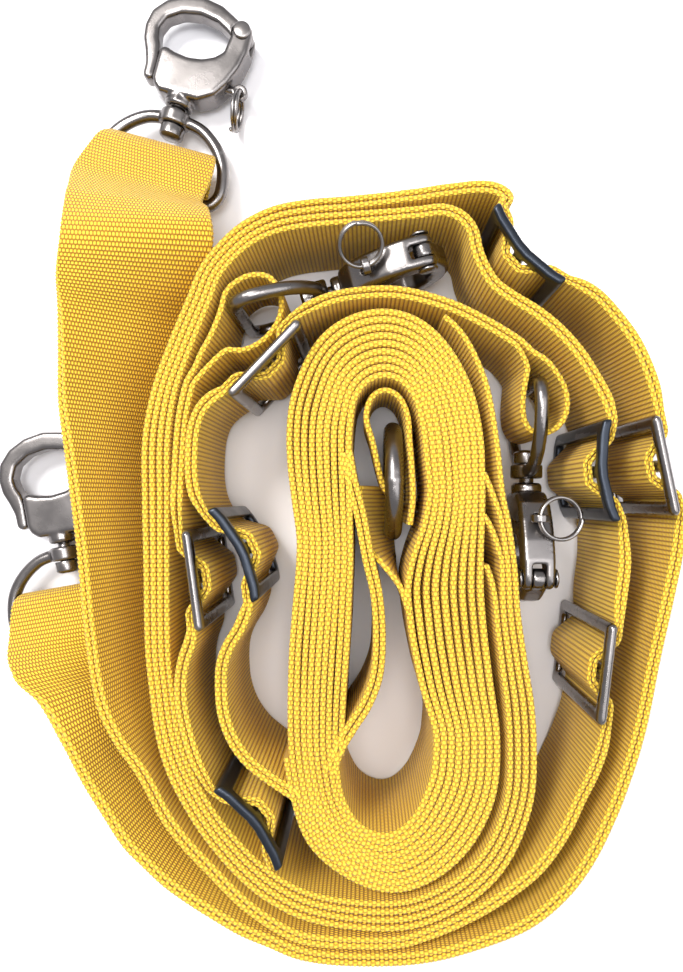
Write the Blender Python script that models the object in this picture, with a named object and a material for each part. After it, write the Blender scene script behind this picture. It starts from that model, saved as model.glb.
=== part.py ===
"""Four-leg webbing strap set, coiled: four doubled straps with slides and snap shackles, and one centre ring.

Local work is in millimetres, with X to the right, Y away and Z up from the floor. HOME moves the
finished set so that the middle of its footprint is the origin.
"""

import math

import bmesh
import bpy
from mathutils import Matrix, Vector

# Webbing.
WEB_WIDTH = 50.0
PAIR = 4.4  # two layers lying together
SINGLE = 2.2  # one layer, in an eye round a bail
BEND_STEP = 10.0  # longest straight piece of a curved strap

# Slides: two slots between three bars, standing on their long ends' tips.
SLIDE_LENGTH = 33.0  # along the strap
SLIDE_HEIGHT = 60.0
SLIDE_THICKNESS = 3.2
SLIDE_BAR = 4.5
MIDDLE_BAR = 4.0
BOW = 3.0  # how far the bowed slides stand in at their middle
SLIDE_PAIR = 3.2  # two layers, pressed together in a slot
SLIDE_GAP = 0.3
THREAD = SLIDE_THICKNESS / 2 + SLIDE_PAIR / 2 + SLIDE_GAP

# Centre ring.
RING_RADIUS = 18.3
RING_ROD = 3.2

# Snap shackle, in its own frame: the swivel is the origin and +Y points at the jaw.
BAIL_LENGTH = 33.5
BAIL_HALF_WIDTH = 24.0
BAIL_ROD = 2.4
BOSS_RADIUS = 5.8
BOSS_HOLE = 3.0
STUD_RADIUS = 2.6
NUT_RADIUS = 4.6
NECK_RADIUS = 5.5
BODY_HALF = 5.5  # half of the body's thickness
JAW_HALF = 3.7
TONGUE_HALF = 2.1
SLOT_HALF = 2.4
HINGE = (17.8, 33.6)
LUG_RADIUS = 3.7
TONGUE_RADIUS = 3.5
TONGUE_CLEAR = 4.6
PIN_RADIUS = 1.9
PIN_HOLE = 2.2
PIN_HEAD = 3.3
PLUNGER_Y = 13.0
PLUNGER_TIP = 1.8
PLUNGER_COLLAR = 2.8
PLUNGER_STEM = 1.4
CHAMBER = 3.3
CHAMBER_END = 11.0
STEM_HOLE = 1.75
EYE_X = 21.6
EYE_RADIUS = 2.9
EYE_HALF = 1.2
EYE_HOLE = 1.3
PULL_RADIUS = 7.1
PULL_WIRE = 0.8
SPRING_RADIUS = 2.3
SPRING_WIRE = 0.42
SPRING_TURNS = 4

HOME = Vector((17.69, -18.77, 0.0))
MM = 0.001

for leftover in list(bpy.data.objects):
    bpy.data.objects.remove(leftover)


def surface(name, colour, metallic, roughness):
    material = bpy.data.materials.new(name)
    material.use_nodes = True
    shader = material.node_tree.nodes["Principled BSDF"]
    shader.inputs["Base Color"].default_value = (*colour, 1.0)
    shader.inputs["Metallic"].default_value = metallic
    shader.inputs["Roughness"].default_value = roughness
    return material


WEBBING = surface("webbing", (0.80, 0.42, 0.03), 0.0, 0.85)
BRIGHT = surface("bright_steel", (0.55, 0.54, 0.52), 1.0, 0.28)
DARK = surface("dark_steel", (0.03, 0.035, 0.045), 0.6, 0.35)


def solid(name, points, faces, material, place=Matrix.Identity(4), helper=False):
    """One object from millimetre points, standing where place (in millimetres) puts it."""
    mesh = bpy.data.meshes.new(name)
    mesh.from_pydata([Vector(point) * MM for point in points], [], faces)
    work = bmesh.new()
    work.from_mesh(mesh)
    bmesh.ops.remove_doubles(work, verts=work.verts, dist=1e-7)
    bmesh.ops.recalc_face_normals(work, faces=work.faces)
    work.to_mesh(mesh)
    work.free()
    mesh.materials.append(material)
    made = bpy.data.objects.new(name, mesh)
    bpy.context.scene.collection.objects.link(made)
    shift = Matrix.Translation(HOME) @ place
    shift.translation = shift.translation * MM
    made.matrix_world = shift
    if helper:
        made.hide_render = True
        made.display_type = "WIRE"
    return made


def joined(obj, other, operation):
    step = obj.modifiers.new(f"{operation.lower()} {other.name}", "BOOLEAN")
    step.operation = operation
    step.solver = "EXACT"
    step.object = other


def chamfer(obj, width):
    step = obj.modifiers.new("edges", "BEVEL")
    step.width = width * MM
    step.segments = 1
    step.limit_method = "ANGLE"
    step.angle_limit = math.radians(40)


def plate(outline, low, high):
    """Points and faces of a flat outline given thickness from z = low to z = high."""
    count = len(outline)
    points = [(x, y, low) for x, y in outline] + [(x, y, high) for x, y in outline]
    faces = [list(range(count))[::-1], list(range(count, 2 * count))]
    for i in range(count):
        k = (i + 1) % count
        faces.append([i, k, count + k, count + i])
    return points, faces


def turned(profile, sides, along):
    """Points and faces of a turned shape. The profile is (distance along, radius), from end to end."""
    turn = {
        "X": lambda d, a, b: (d, a, b),
        "Y": lambda d, a, b: (b, d, a),
        "Z": lambda d, a, b: (a, b, d),
    }[along]
    points = []
    for distance, radius in profile:
        for i in range(sides):
            angle = 2 * math.pi * i / sides
            points.append(turn(distance, radius * math.cos(angle), radius * math.sin(angle)))
    faces = []
    for row in range(len(profile) - 1):
        for i in range(sides):
            k = (i + 1) % sides
            base = row * sides
            faces.append([base + i, base + k, base + sides + k, base + sides + i])
    last = (len(profile) - 1) * sides
    faces.append(list(range(sides))[::-1])
    faces.append(list(range(last, last + sides)))
    return points, faces


def rod(path, radius, sides, closed, up):
    """Points and faces of a round rod along a path that stays roughly square to up."""
    centres = [Vector(point) for point in path]
    count = len(centres)
    points = []
    for i, here in enumerate(centres):
        before = centres[i - 1] if closed or i else here
        after = centres[(i + 1) % count] if closed or i < count - 1 else here
        ahead = (after - before).normalized()
        side = ahead.cross(Vector(up)).normalized()
        rise = side.cross(ahead)
        for k in range(sides):
            angle = 2 * math.pi * (k + 0.5) / sides
            points.append(here + side * radius * math.cos(angle) + rise * radius * math.sin(angle))
    faces = []
    for i in range(count if closed else count - 1):
        j = (i + 1) % count
        for k in range(sides):
            m = (k + 1) % sides
            faces.append([i * sides + k, i * sides + m, j * sides + m, j * sides + k])
    if not closed:
        faces.append(list(range(sides))[::-1])
        faces.append(list(range((count - 1) * sides, count * sides)))
    return points, faces


def circle(x, y, radius, start, end, count):
    steps = [math.radians(start + (end - start) * i / (count - 1)) for i in range(count)]
    return [(x + radius * math.cos(a), y + radius * math.sin(a)) for a in steps]


# Straps. A station is x, y, height of the middle, lean from upright, the way the top leans,
# width and thickness.
def smooth(stations):
    """The stations joined by a smooth curve, with a point about every BEND_STEP."""
    gaps = [math.dist(a[:3], b[:3]) for a, b in zip(stations, stations[1:])]
    slopes = []
    for i in range(len(stations)):
        low, high = max(i - 1, 0), min(i + 1, len(stations) - 1)
        span = sum(gaps[low:high])
        slopes.append([(b - a) / span for a, b in zip(stations[low], stations[high])])
    path = [list(stations[0])]
    for i, gap in enumerate(gaps):
        steps = max(1, round(gap / BEND_STEP))
        for k in range(1, steps + 1):
            t = k / steps
            start = 2 * t**3 - 3 * t**2 + 1
            leave = (t**3 - 2 * t**2 + t) * gap
            arrive = (t**3 - t**2) * gap
            path.append(
                [
                    start * a + (1 - start) * b + leave * p + arrive * q
                    for a, b, p, q in zip(stations[i], stations[i + 1], slopes[i], slopes[i + 1])
                ]
            )
    return path


def ribbon(name, path):
    points = []
    for i, row in enumerate(path):
        here = Vector(row[:3])
        ahead = (Vector(path[i + 1][:3]) - here).normalized() if i < len(path) - 1 else None
        behind = (here - Vector(path[i - 1][:3])).normalized() if i else ahead
        ahead = ahead or behind
        along = (ahead + behind).normalized()
        lean, way = math.radians(row[3]), math.radians(row[4])
        across = Vector(
            (math.sin(lean) * math.cos(way), math.sin(lean) * math.sin(way), math.cos(lean))
        )
        thick = along.cross(across).normalized() / max(0.6, ahead.dot(along))
        for a, t in ((-1, -1), (1, -1), (1, 1), (-1, 1)):
            points.append(here + across * a * row[5] / 2 + thick * t * row[6] / 2)
    faces = [[3, 2, 1, 0]]
    for i in range(len(path) - 1):
        base = 4 * i
        for k in range(4):
            m = (k + 1) % 4
            faces.append([base + k, base + m, base + 4 + m, base + 4 + k])
    end = 4 * (len(path) - 1)
    faces.append([end, end + 1, end + 2, end + 3])
    return solid(name, points, faces, WEBBING)


def upright(rows, thickness=PAIR, height=25.0):
    """Stations of a strap standing on its edge, from (x, y) or (x, y, height of the middle)."""
    return [[*row[:2], row[2] if len(row) > 2 else height, 0, 180, WEB_WIDTH, thickness] for row in rows]


class Slide:
    """Where a slide stands: its middle, the way the strap runs through it, and how far it is bowed."""

    def __init__(self, x, y, way, bow):
        self.middle = Vector((x, y))
        self.along = Vector((math.cos(math.radians(way)), math.sin(math.radians(way))))
        self.inward = Vector((-self.along.y, self.along.x))
        self.bow = bow

    def at(self, u, n):
        sag = self.bow * max(0.0, 1 - (2 * u / SLIDE_LENGTH) ** 2)
        return self.middle + self.along * u + self.inward * (n + sag)

    def threaded(self):
        """Behind the first bar, over the middle one and behind the last."""
        half = SLIDE_LENGTH / 2
        slot_middle = (MIDDLE_BAR / 2 + half - SLIDE_BAR) / 2
        turn_in, turn_out = slot_middle + THREAD, slot_middle - THREAD
        rows = []
        for u, n in (
            (-half, -THREAD),
            (-turn_in, -THREAD),
            (-turn_out, THREAD),
            (turn_out, THREAD),
            (turn_in, -THREAD),
            (half, -THREAD),
        ):
            rows.append([*self.at(u, n), SLIDE_HEIGHT / 2, 0, 180, WEB_WIDTH, SLIDE_PAIR])
        return rows

    def build(self, name):
        half, middle = SLIDE_LENGTH / 2, MIDDLE_BAR / 2
        us = [-half, SLIDE_BAR - half, -middle, middle, half - SLIDE_BAR, half]
        tall = SLIDE_HEIGHT / 2
        vs = [-tall, SLIDE_BAR - tall, tall - SLIDE_BAR, tall]
        points = []
        for side in (-1, 1):
            for u in us:
                for v in vs:
                    flat = self.at(u, side * SLIDE_THICKNESS / 2)
                    points.append((flat.x, flat.y, SLIDE_HEIGHT / 2 + v))
        cells = {(i, j) for i in range(5) for j in range(3)} - {(1, 1), (3, 1)}
        back = len(us) * len(vs)
        faces = []
        for i, j in cells:
            ring = [4 * i + j, 4 * i + 4 + j, 4 * i + 5 + j, 4 * i + 1 + j]
            faces += [ring, [back + corner for corner in reversed(ring)]]
            beside = ((i, j - 1), (i + 1, j), (i, j + 1), (i - 1, j))
            for k, neighbour in enumerate(beside):
                if neighbour not in cells:
                    a, b = ring[k], ring[(k + 1) % 4]
                    faces.append([a, back + a, back + b, b])
        made = solid(name, points, faces, DARK if self.bow else BRIGHT)
        chamfer(made, 0.6 if self.bow else 1.1)


def joined_path(*pieces):
    """Curves and slide crossings in the order the strap runs through them."""
    path = []
    for number, piece in enumerate(pieces):
        if isinstance(piece, Slide):
            path += piece.threaded()
            continue
        first = path[-1:] if path else []
        rest = pieces[number + 1 :]
        last = [rest[0].threaded()[0]] if rest else []
        curve = smooth(first + piece + last)
        path += curve[len(first) : len(curve) - len(last)]
    return path


# Snap shackles.
BODY_OUTLINE = [
    (-7.5, 4.0), (7.5, 4.0), (13.5, 7.5), (17.2, 13.0), (20.2, 20.0), (21.6, 27.0),
    *circle(*HINGE, LUG_RADIUS, 0, 180, 7),
    (13.7, 30.0), (12.9, 24.5), (9.9, 21.6), (5.4, 19.7), (0.0, 19.0), (-5.4, 19.7),
    (-8.5, 20.8), (-11.0, 20.2), (-11.0, 8.5), (-10.0, 6.0),
]
JAW_OUTLINE = [
    (12.8, 32.6), (10.7, 33.8), (7.0, 35.8), (0.0, 37.0), (-7.0, 35.8), (-12.1, 32.5),
    (-14.0, 28.0), (-13.4, 24.5), (-12.0, 21.5), (-11.4, 18.0), (-11.4, 9.2), (-12.4, 8.0),
    (-14.6, 8.0), (-15.5, 9.5), (-15.6, 14.0), (-17.0, 18.5), (-18.9, 23.0), (-19.5, 28.0),
    (-18.2, 34.0), (-13.8, 39.0), (-7.5, 42.3), (0.0, 43.6), (7.5, 42.3), (13.0, 39.4),
    *reversed(circle(*HINGE, TONGUE_RADIUS, -135, 100, 9)),
]


class Shackle:
    """One snap shackle: x, y and height of its swivel, the way it points, flat or on its edge,
    and how far its pull ring leans from straight out of the eye."""

    def __init__(self, number, x, y, height, way, on_edge, pull_lean):
        self.prefix = f"shackle_{number}_"
        way = math.radians(way)
        ahead = Vector((math.cos(way), math.sin(way), 0.0))
        right = Vector((0.0, 0.0, 1.0)) if on_edge else Vector((ahead.y, -ahead.x, 0.0))
        place = Matrix((right, ahead, right.cross(ahead))).transposed().to_4x4()
        place.translation = (x, y, height)
        self.place = place
        self.on_edge = on_edge
        self.pull_lean = math.radians(pull_lean)

    def add(self, name, shape, material, origin=(0.0, 0.0, 0.0)):
        points, faces = shape
        moved = [Vector(point) - Vector(origin) for point in points]
        place = self.place @ Matrix.Translation(origin)
        return solid(self.prefix + name, moved, faces, material, place)

    def helper(self, name, shape):
        points, faces = shape
        return solid(self.prefix + name, points, faces, BRIGHT, self.place, helper=True)

    def build(self):
        self.bail()
        self.body()
        self.jaw()
        self.plunger()

    def bail(self):
        half = [
            (11.0, -5.0), (17.5, -9.5), (22.0, -15.5), (BAIL_HALF_WIDTH, -22.5),
            (BAIL_HALF_WIDTH, -28.5), (21.2, BAIL_LENGTH * -0.97), (16.0, -BAIL_LENGTH),
        ]
        start = BOSS_RADIUS - 1.3
        path = [(start, -3.5, 0.0), *((x, y, 0.0) for x, y in half)]
        path += [(-x, y, 0.0) for x, y, _ in reversed(path)]
        loop = self.add("bail", rod(path, BAIL_ROD, 8, False, (0, 0, 1)), BRIGHT)
        boss = self.helper("boss", turned([(-6.2, BOSS_RADIUS), (-0.8, BOSS_RADIUS)], 14, "Y"))
        hole = self.helper("boss_hole", turned([(-9.0, BOSS_HOLE), (2.0, BOSS_HOLE)], 12, "Y"))
        joined(loop, boss, "UNION")
        joined(loop, hole, "DIFFERENCE")
        stud = [
            (-11.2, 3.6), (-10.2, NUT_RADIUS), (-6.6, NUT_RADIUS), (-6.6, STUD_RADIUS),
            (3.4, STUD_RADIUS),
        ]
        self.add("swivel_stud", turned(stud, 12, "Y"), BRIGHT)

    def body(self):
        body = self.add("body", plate(BODY_OUTLINE, -BODY_HALF, BODY_HALF), BRIGHT)
        chamfer(body, 1.0)
        neck = self.helper("neck", turned([(0.7, 4.6), (1.6, NECK_RADIUS), (5.0, 5.3)], 14, "Y"))
        blind = STUD_RADIUS + 0.3
        stud_hole = self.helper("stud_hole", turned([(0.0, blind), (3.8, blind)], 12, "Y"))
        bore = [
            (-14.0, CHAMBER), (CHAMBER_END, CHAMBER), (CHAMBER_END, STEM_HOLE), (24.0, STEM_HOLE),
        ]
        bore, faces = turned(bore, 12, "X")
        bore = [(x, y + PLUNGER_Y, z) for x, y, z in bore]
        slot = [(10.0, 28.3), (25.0, 28.3), (25.0, 40.0), (10.0, 40.0)]
        joined(body, neck, "UNION")
        joined(body, stud_hole, "DIFFERENCE")
        joined(body, self.helper("bore", (bore, faces)), "DIFFERENCE")
        joined(body, self.helper("slot", plate(slot, -SLOT_HALF, SLOT_HALF)), "DIFFERENCE")
        joined(body, self.helper("pin_hole", self.at_hinge(PIN_HOLE, -9.0, 9.0)), "DIFFERENCE")

    def at_hinge(self, radius, low, high, sides=12):
        points, faces = turned([(low, radius), (high, radius)], sides, "Z")
        return [(x + HINGE[0], y + HINGE[1], z) for x, y, z in points], faces

    def jaw(self):
        at = (*HINGE, 0.0)
        jaw = self.add("jaw", plate(JAW_OUTLINE, -JAW_HALF, JAW_HALF), BRIGHT, at)
        chamfer(jaw, 0.8)
        for name, low, high in (("upper", TONGUE_HALF, 6.0), ("lower", -6.0, -TONGUE_HALF)):
            cheek = self.helper(f"{name}_cheek", self.at_hinge(TONGUE_CLEAR, low, high, 16))
            joined(jaw, cheek, "DIFFERENCE")
        joined(jaw, self.helper("jaw_hole", self.at_hinge(PIN_HOLE, -9.0, 9.0)), "DIFFERENCE")
        face = BODY_HALF + 0.3
        pin = [
            (-face - 1.0, PIN_HEAD), (-face, PIN_HEAD), (-face, PIN_RADIUS), (face, PIN_RADIUS),
            (face, PIN_HEAD), (face + 1.0, PIN_HEAD),
        ]
        points, faces = turned(pin, 12, "Z")
        points = [(x + HINGE[0], y + HINGE[1], z) for x, y, z in points]
        self.add("jaw_pin", (points, faces), BRIGHT)

    def plunger(self):
        at = (0.0, PLUNGER_Y, 0.0)
        shaft = [
            (-10.7, 1.2), (-10.0, PLUNGER_TIP), (-2.0, PLUNGER_TIP), (-2.0, PLUNGER_COLLAR),
            (0.0, PLUNGER_COLLAR), (0.0, PLUNGER_STEM), (EYE_X - EYE_RADIUS + 0.8, PLUNGER_STEM),
        ]
        points, faces = turned(shaft, 10, "X")
        points = [(x, y + PLUNGER_Y, z) for x, y, z in points]
        plunger = self.add("plunger", (points, faces), BRIGHT, at)
        joined(plunger, self.helper("eye", self.eye(EYE_RADIUS, EYE_HALF, 12)), "UNION")
        joined(plunger, self.helper("eye_hole", self.eye(EYE_HOLE, 4.0, 10)), "DIFFERENCE")
        coil = []
        turns = SPRING_TURNS * 8
        for i in range(turns + 1):
            angle = 2 * math.pi * i / 8
            coil.append(
                (
                    0.8 + (CHAMBER_END - 1.6) * i / turns,
                    PLUNGER_Y + SPRING_RADIUS * math.cos(angle),
                    SPRING_RADIUS * math.sin(angle),
                )
            )
        spring = rod(coil, SPRING_WIRE, 4, False, (1, 0, 0))
        self.add("plunger_spring", spring, BRIGHT, at)
        self.pull_ring()

    def eye(self, radius, half, sides):
        """A disc about the plunger's eye, facing along Y on a shackle on its edge, else along Z."""
        along = "Y" if self.on_edge else "Z"
        points, faces = turned([(-half, radius), (half, radius)], sides, along)
        return [(x + EYE_X, y + PLUNGER_Y, z) for x, y, z in points], faces

    def pull_ring(self):
        """The ring hangs out of the eye: on edge it swings about Y, else about Z."""
        at = Vector((EYE_X, PLUNGER_Y, 0.0))
        lean = self.pull_lean
        if self.on_edge:
            out, hole_way = Vector((-math.sin(lean), 0, math.cos(lean))), Vector((0, 1, 0))
        else:
            out, hole_way = Vector((math.sin(lean), -math.cos(lean), 0)), Vector((0, 0, 1))
        centre = at + out * PULL_RADIUS
        loop = []
        for i in range(16):
            angle = 2 * math.pi * i / 16
            loop.append(centre + (hole_way * math.sin(angle) - out * math.cos(angle)) * PULL_RADIUS)
        self.add("pull_ring", rod(loop, PULL_WIRE, 6, True, out.cross(hole_way)), BRIGHT, at)


SHACKLES = [
    Shackle(1, -72.7, 150.8, 9.0, 75, False, 5),
    Shackle(2, -116.5, -17.0, 9.0, 100, False, 5),
    Shackle(3, -12.3, 75.2, 26.5, 16, True, -35),
    Shackle(4, 58.8, 6.8, 26.5, -90, True, 5),
]
for shackle in SHACKLES:
    shackle.build()

# The slides, in the order their straps run: a bright one and a bowed dark one on each leg.
SLIDE_1A = Slide(77.9, -56.1, 83.2, 0.0)
SLIDE_1B = Slide(79.4, 9.5, 94.9, BOW)
SLIDE_2A = Slide(96.8, 11.1, 101.7, 0.0)
SLIDE_2B = Slide(53.0, 82.4, 131.2, BOW)
SLIDE_3A = Slide(-55.5, -26.0, -82.3, 0.0)
SLIDE_3B = Slide(-37.7, -105.6, -52.0, BOW)
SLIDE_4A = Slide(-32.4, 45.7, -133.6, 0.0)
SLIDE_4B = Slide(-42.4, -17.6, -64.3, BOW)
for name, slide in (
    ("slide_1_flat", SLIDE_1A),
    ("slide_1_bowed", SLIDE_1B),
    ("slide_2_flat", SLIDE_2A),
    ("slide_2_bowed", SLIDE_2B),
    ("slide_3_flat", SLIDE_3A),
    ("slide_3_bowed", SLIDE_3B),
    ("slide_4_flat", SLIDE_4A),
    ("slide_4_bowed", SLIDE_4B),
):
    slide.build(name)


def flat_eye(shackle, rows, width):
    """Stations of a loop round the end bar of a shackle that lies flat. A row is the distance
    from the bar toward the swivel and the height."""
    ahead = (shackle.place.to_3x3() @ Vector((0, 1, 0))).to_2d()
    bar = shackle.place.translation.to_2d() - ahead * BAIL_LENGTH
    side = math.degrees(math.atan2(ahead.x, -ahead.y)) % 360
    stations = []
    for distance, height in rows:
        spot = bar + ahead * distance
        stations.append([spot.x, spot.y, height, 90, side, width, SINGLE])
    return stations


def upright_eye(rows):
    """Stations of a loop round an end bar that stands upright, from (x, y, width)."""
    return [[x, y, BAIL_HALF_WIDTH + BAIL_ROD, 0, 180, width, SINGLE] for x, y, width in rows]


strap_1 = joined_path(
    flat_eye(
        SHACKLES[0],
        [
            (-15.0, 31.0), (-13.0, 20.0), (-9.0, 9.0), (-3.0, 3.4), (6.0, 2.8), (14.0, 5.0),
            (18.0, 11.5), (14.5, 18.5), (6.0, 23.0), (-4.0, 28.0),
        ],
        37.0,
    )
    + [
        [-80.2, 105.0, 39.5, 88, 172, 46, PAIR],
        [-77.3, 94.0, 49.0, 90, 178, 50, PAIR],
        [-77.8, 86.7, 51.0, 85, 180, 50, PAIR],
        [-82.6, 77.0, 45.0, 68, 180, 50, PAIR],
        [-83.0, 66.7, 35.0, 50, 180, 50, PAIR],
        [-86.0, 50.0, 30.5, 40, 180, 50, PAIR],
        [-89.0, 33.0, 27.0, 32, 180, 50, PAIR],
        [-89.5, 16.7, 25.2, 25, 180, 50, PAIR],
        [-86.9, -16.7, 25.2, 20, 180, 50, PAIR],
        [-85.5, -42.0, 25.2, 17, 182, 50, PAIR],
        [-82.2, -66.7, 25.4, 15, 190, 50, PAIR],
        [-78.5, -79.5, 25.5, 9, 200, 50, PAIR],
    ]
    + upright(
        [
            (-74.0, -92.0, 25.3), (-66.5, -106.2), (-60.1, -114.7), (-53.5, -121.8), (-40.4, -135.0),
            (-28.5, -143.3), (-20.0, -146.8), (-5.0, -148.2), (11.7, -148.0), (22.0, -145.0),
            (31.7, -141.0), (41.7, -135.7), (49.0, -130.8), (56.7, -124.6), (62.3, -118.0),
            (67.5, -109.7), (72.0, -100.0), (75.3, -91.5, 27.0), (78.0, -81.7, 29.0),
        ]
    ),
    SLIDE_1A,
    upright([(84.0, -33.0, 29.5), (85.4, -20.0, 29.5)]),
    SLIDE_1B,
    upright(
        [
            (79.6, 33.0, 29.5), (75.5, 41.0, 29.0), (70.5, 49.0, 28.5), (64.0, 56.5, 28.0),
            (57.0, 62.6, 27.0), (49.2, 67.8, 26.0), (43.4, 72.6), (39.4, 79.0), (37.4, 84.3),
            (36.0, 90.4), (32.2, 95.0), (26.2, 97.2), (18.6, 96.4), (12.4, 95.9),
        ]
    ),
)
ribbon("strap_1", strap_1)

strap_2 = joined_path(
    flat_eye(
        SHACKLES[1],
        [
            (-7.0, 8.5), (-4.5, 4.2), (2.0, 2.8), (9.0, 3.0), (13.5, 5.0), (16.5, 10.5),
            (14.5, 16.0), (8.5, 19.5), (1.0, 22.5),
        ],
        37.0,
    )
    + [
        [-108.7, -55.3, 24.5, 72, 188, 44, PAIR],
        [-102.3, -61.7, 24.0, 52, 187, 48, PAIR],
        [-97.0, -67.0, 21.8, 38, 190, 50, PAIR],
        [-91.5, -78.0, 24.9, 25, 200, 50, PAIR],
        [-87.5, -91.7, 25.2, 15, 207, 50, PAIR],
        [-81.0, -102.7, 25.2, 14, 212, 50, PAIR],
        [-75.4, -111.9, 25.2, 13, 217, 50, PAIR],
        [-69.8, -118.5, 25.2, 11, 223, 50, PAIR],
        [-63.5, -124.9, 25.2, 10, 226, 50, PAIR],
        [-57.4, -130.2, 25.2, 8, 228, 50, PAIR],
        [-51.6, -134.8, 25.2, 6, 232, 50, PAIR],
        [-40.0, -142.9, 25.2, 3, 240, 50, PAIR],
    ]
    + upright(
        [
            (-29.2, -148.8), (-21.0, -151.9), (-8.0, -153.6), (11.7, -153.6), (24.6, -151.9),
            (37.5, -148.3), (50.7, -143.4), (57.2, -139.7), (63.6, -134.5), (70.0, -127.6),
            (76.4, -117.9), (82.9, -104.2), (86.4, -95.0), (89.6, -85.4), (92.8, -73.4),
            (96.4, -53.0, 26.0), (100.0, -33.0, 28.0), (102.5, -17.0, 29.5),
        ]
    ),
    SLIDE_2A,
    upright(
        [
            (95.2, 37.0, 29.5), (92.2, 46.0, 29.0), (88.6, 53.5, 28.5), (83.0, 61.0, 28.5),
            (77.0, 66.9, 29.5), (72.0, 70.0, 30.0),
        ]
    ),
    SLIDE_2B,
    upright(
        [
            (47.3, 99.0, 29.0), (45.9, 101.6, 28.0), (42.6, 103.6, 27.0), (37.5, 104.4, 26.0),
            (31.5, 104.2), (25.0, 103.4), (18.3, 102.3), (12.4, 101.6),
        ]
    ),
)
ribbon("strap_2", strap_2)

strap_3 = joined_path(
    upright_eye(
        [
            (-47.5, 50.6, 46), (-40.5, 50.6, 44), (-33.5, 55.0, 41), (-29.0, 62.5, 38),
            (-28.9, 70.5, 38), (-32.8, 76.0, 38), (-39.0, 76.4, 39), (-44.4, 73.6, 40),
            (-47.4, 70.0, 41), (-48.4, 65.5, 42), (-50.0, 60.0, 44), (-52.4, 54.0, 46),
            (-54.8, 49.2, 48),
        ]
    )
    + upright(
        [
            (-57.0, 43.8), (-59.2, 37.5), (-61.2, 28.0), (-62.2, 18.0), (-62.4, 5.0, 27.0),
            (-62.0, -3.0, 29.5),
        ]
    ),
    SLIDE_3A,
    upright(
        [
            (-57.6, -47.0, 29.5), (-59.6, -52.5, 29.0), (-61.0, -60.0, 28.0), (-60.7, -68.0, 28.0),
            (-58.9, -77.0, 28.0), (-55.4, -86.4, 29.5),
        ]
    ),
    SLIDE_3B,
)
ribbon("strap_3", strap_3)

strap_4 = joined_path(
    upright_eye(
        [
            (55.0, 45.4, 44), (54.4, 41.0, 42), (53.8, 36.0, 40), (53.7, 31.0, 39),
            (54.6, 26.5, 38), (57.0, 23.4, 38), (61.3, 22.8, 38), (65.6, 25.0, 39),
            (68.0, 28.8, 40), (68.5, 33.5, 41), (67.1, 38.5, 43), (64.0, 43.0, 46),
            (60.4, 46.8, 48),
        ]
    )
    + upright(
        [
            (55.3, 50.0), (47.6, 55.2), (40.6, 59.3), (30.8, 64.2), (21.0, 67.5), (11.4, 69.5),
            (1.8, 69.6), (-9.8, 67.1, 28.0), (-18.3, 63.4, 29.5),
        ]
    ),
    SLIDE_4A,
    upright(
        [
            (-50.6, 33.6, 29.5), (-54.2, 29.8, 29.0), (-56.6, 24.0, 28.0), (-57.4, 16.0, 28.0),
            (-57.2, 8.0, 29.0), (-55.9, 1.6, 29.5),
        ]
    ),
    SLIDE_4B,
    upright(
        [
            (-39.4, -37.2, 29.5), (-41.6, -42.5, 29.0), (-45.0, -48.0, 28.0), (-47.3, -54.0, 27.0),
            (-48.2, -62.0), (-47.4, -71.5), (-44.4, -80.0), (-39.5, -87.0), (-33.6, -92.0),
        ]
    ),
)
ribbon("strap_4", strap_4)

# The webbing that the four legs come from: an outer ring, and a hank inside it.
OUTER_RING = [
    (11.7, 98.7, 10.0), (-5.0, 97.0, 10.0), (-18.3, 95.9, 10.0), (-29.0, 94.0, 9.8),
    (-37.6, 90.3, 9.0), (-44.7, 84.8, 8.4), (-51.6, 76.5, 8.2), (-55.4, 67.3, 8.4),
    (-62.8, 49.2, 8.6), (-67.3, 36.0, 8.8), (-69.9, 20.0, 9.8), (-70.0, 0.0, 9.8),
    (-69.8, -20.0, 9.2), (-69.4, -50.0, 8.8), (-68.0, -64.0, 8.6), (-66.0, -78.0, 8.6),
    (-62.8, -89.0, 8.6), (-57.9, -99.0, 8.8), (-51.6, -109.0, 9.2), (-44.9, -117.3, 9.6),
    (-38.5, -124.0, 10.0), (-31.0, -130.0, 10.2), (-20.0, -135.6, 10.6), (-5.0, -138.6, 10.8),
    (11.7, -139.0, 11.0), (23.0, -136.0, 10.8), (34.6, -129.3, 10.4), (42.8, -121.0, 10.4),
    (48.5, -110.5, 10.2), (52.0, -98.0, 10.4), (52.6, -83.0, 10.4), (51.8, -69.0, 10.4),
    (49.8, -55.0, 10.0), (47.6, -38.0, 9.4), (46.9, -22.0, 8.2), (45.8, -8.0, 6.6),
    (44.7, 2.0, 4.8), (43.7, 20.0, 2.8), (40.8, 37.5, 2.4), (37.0, 47.8, 2.2),
    (33.2, 54.6, 2.2), (29.4, 59.0, 2.2), (26.4, 61.4, 2.2),
]
ring_rows = [upright([(x, y)], thickness)[0] for x, y, thickness in OUTER_RING]
ribbon("outer_ring", smooth(ring_rows))

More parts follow.
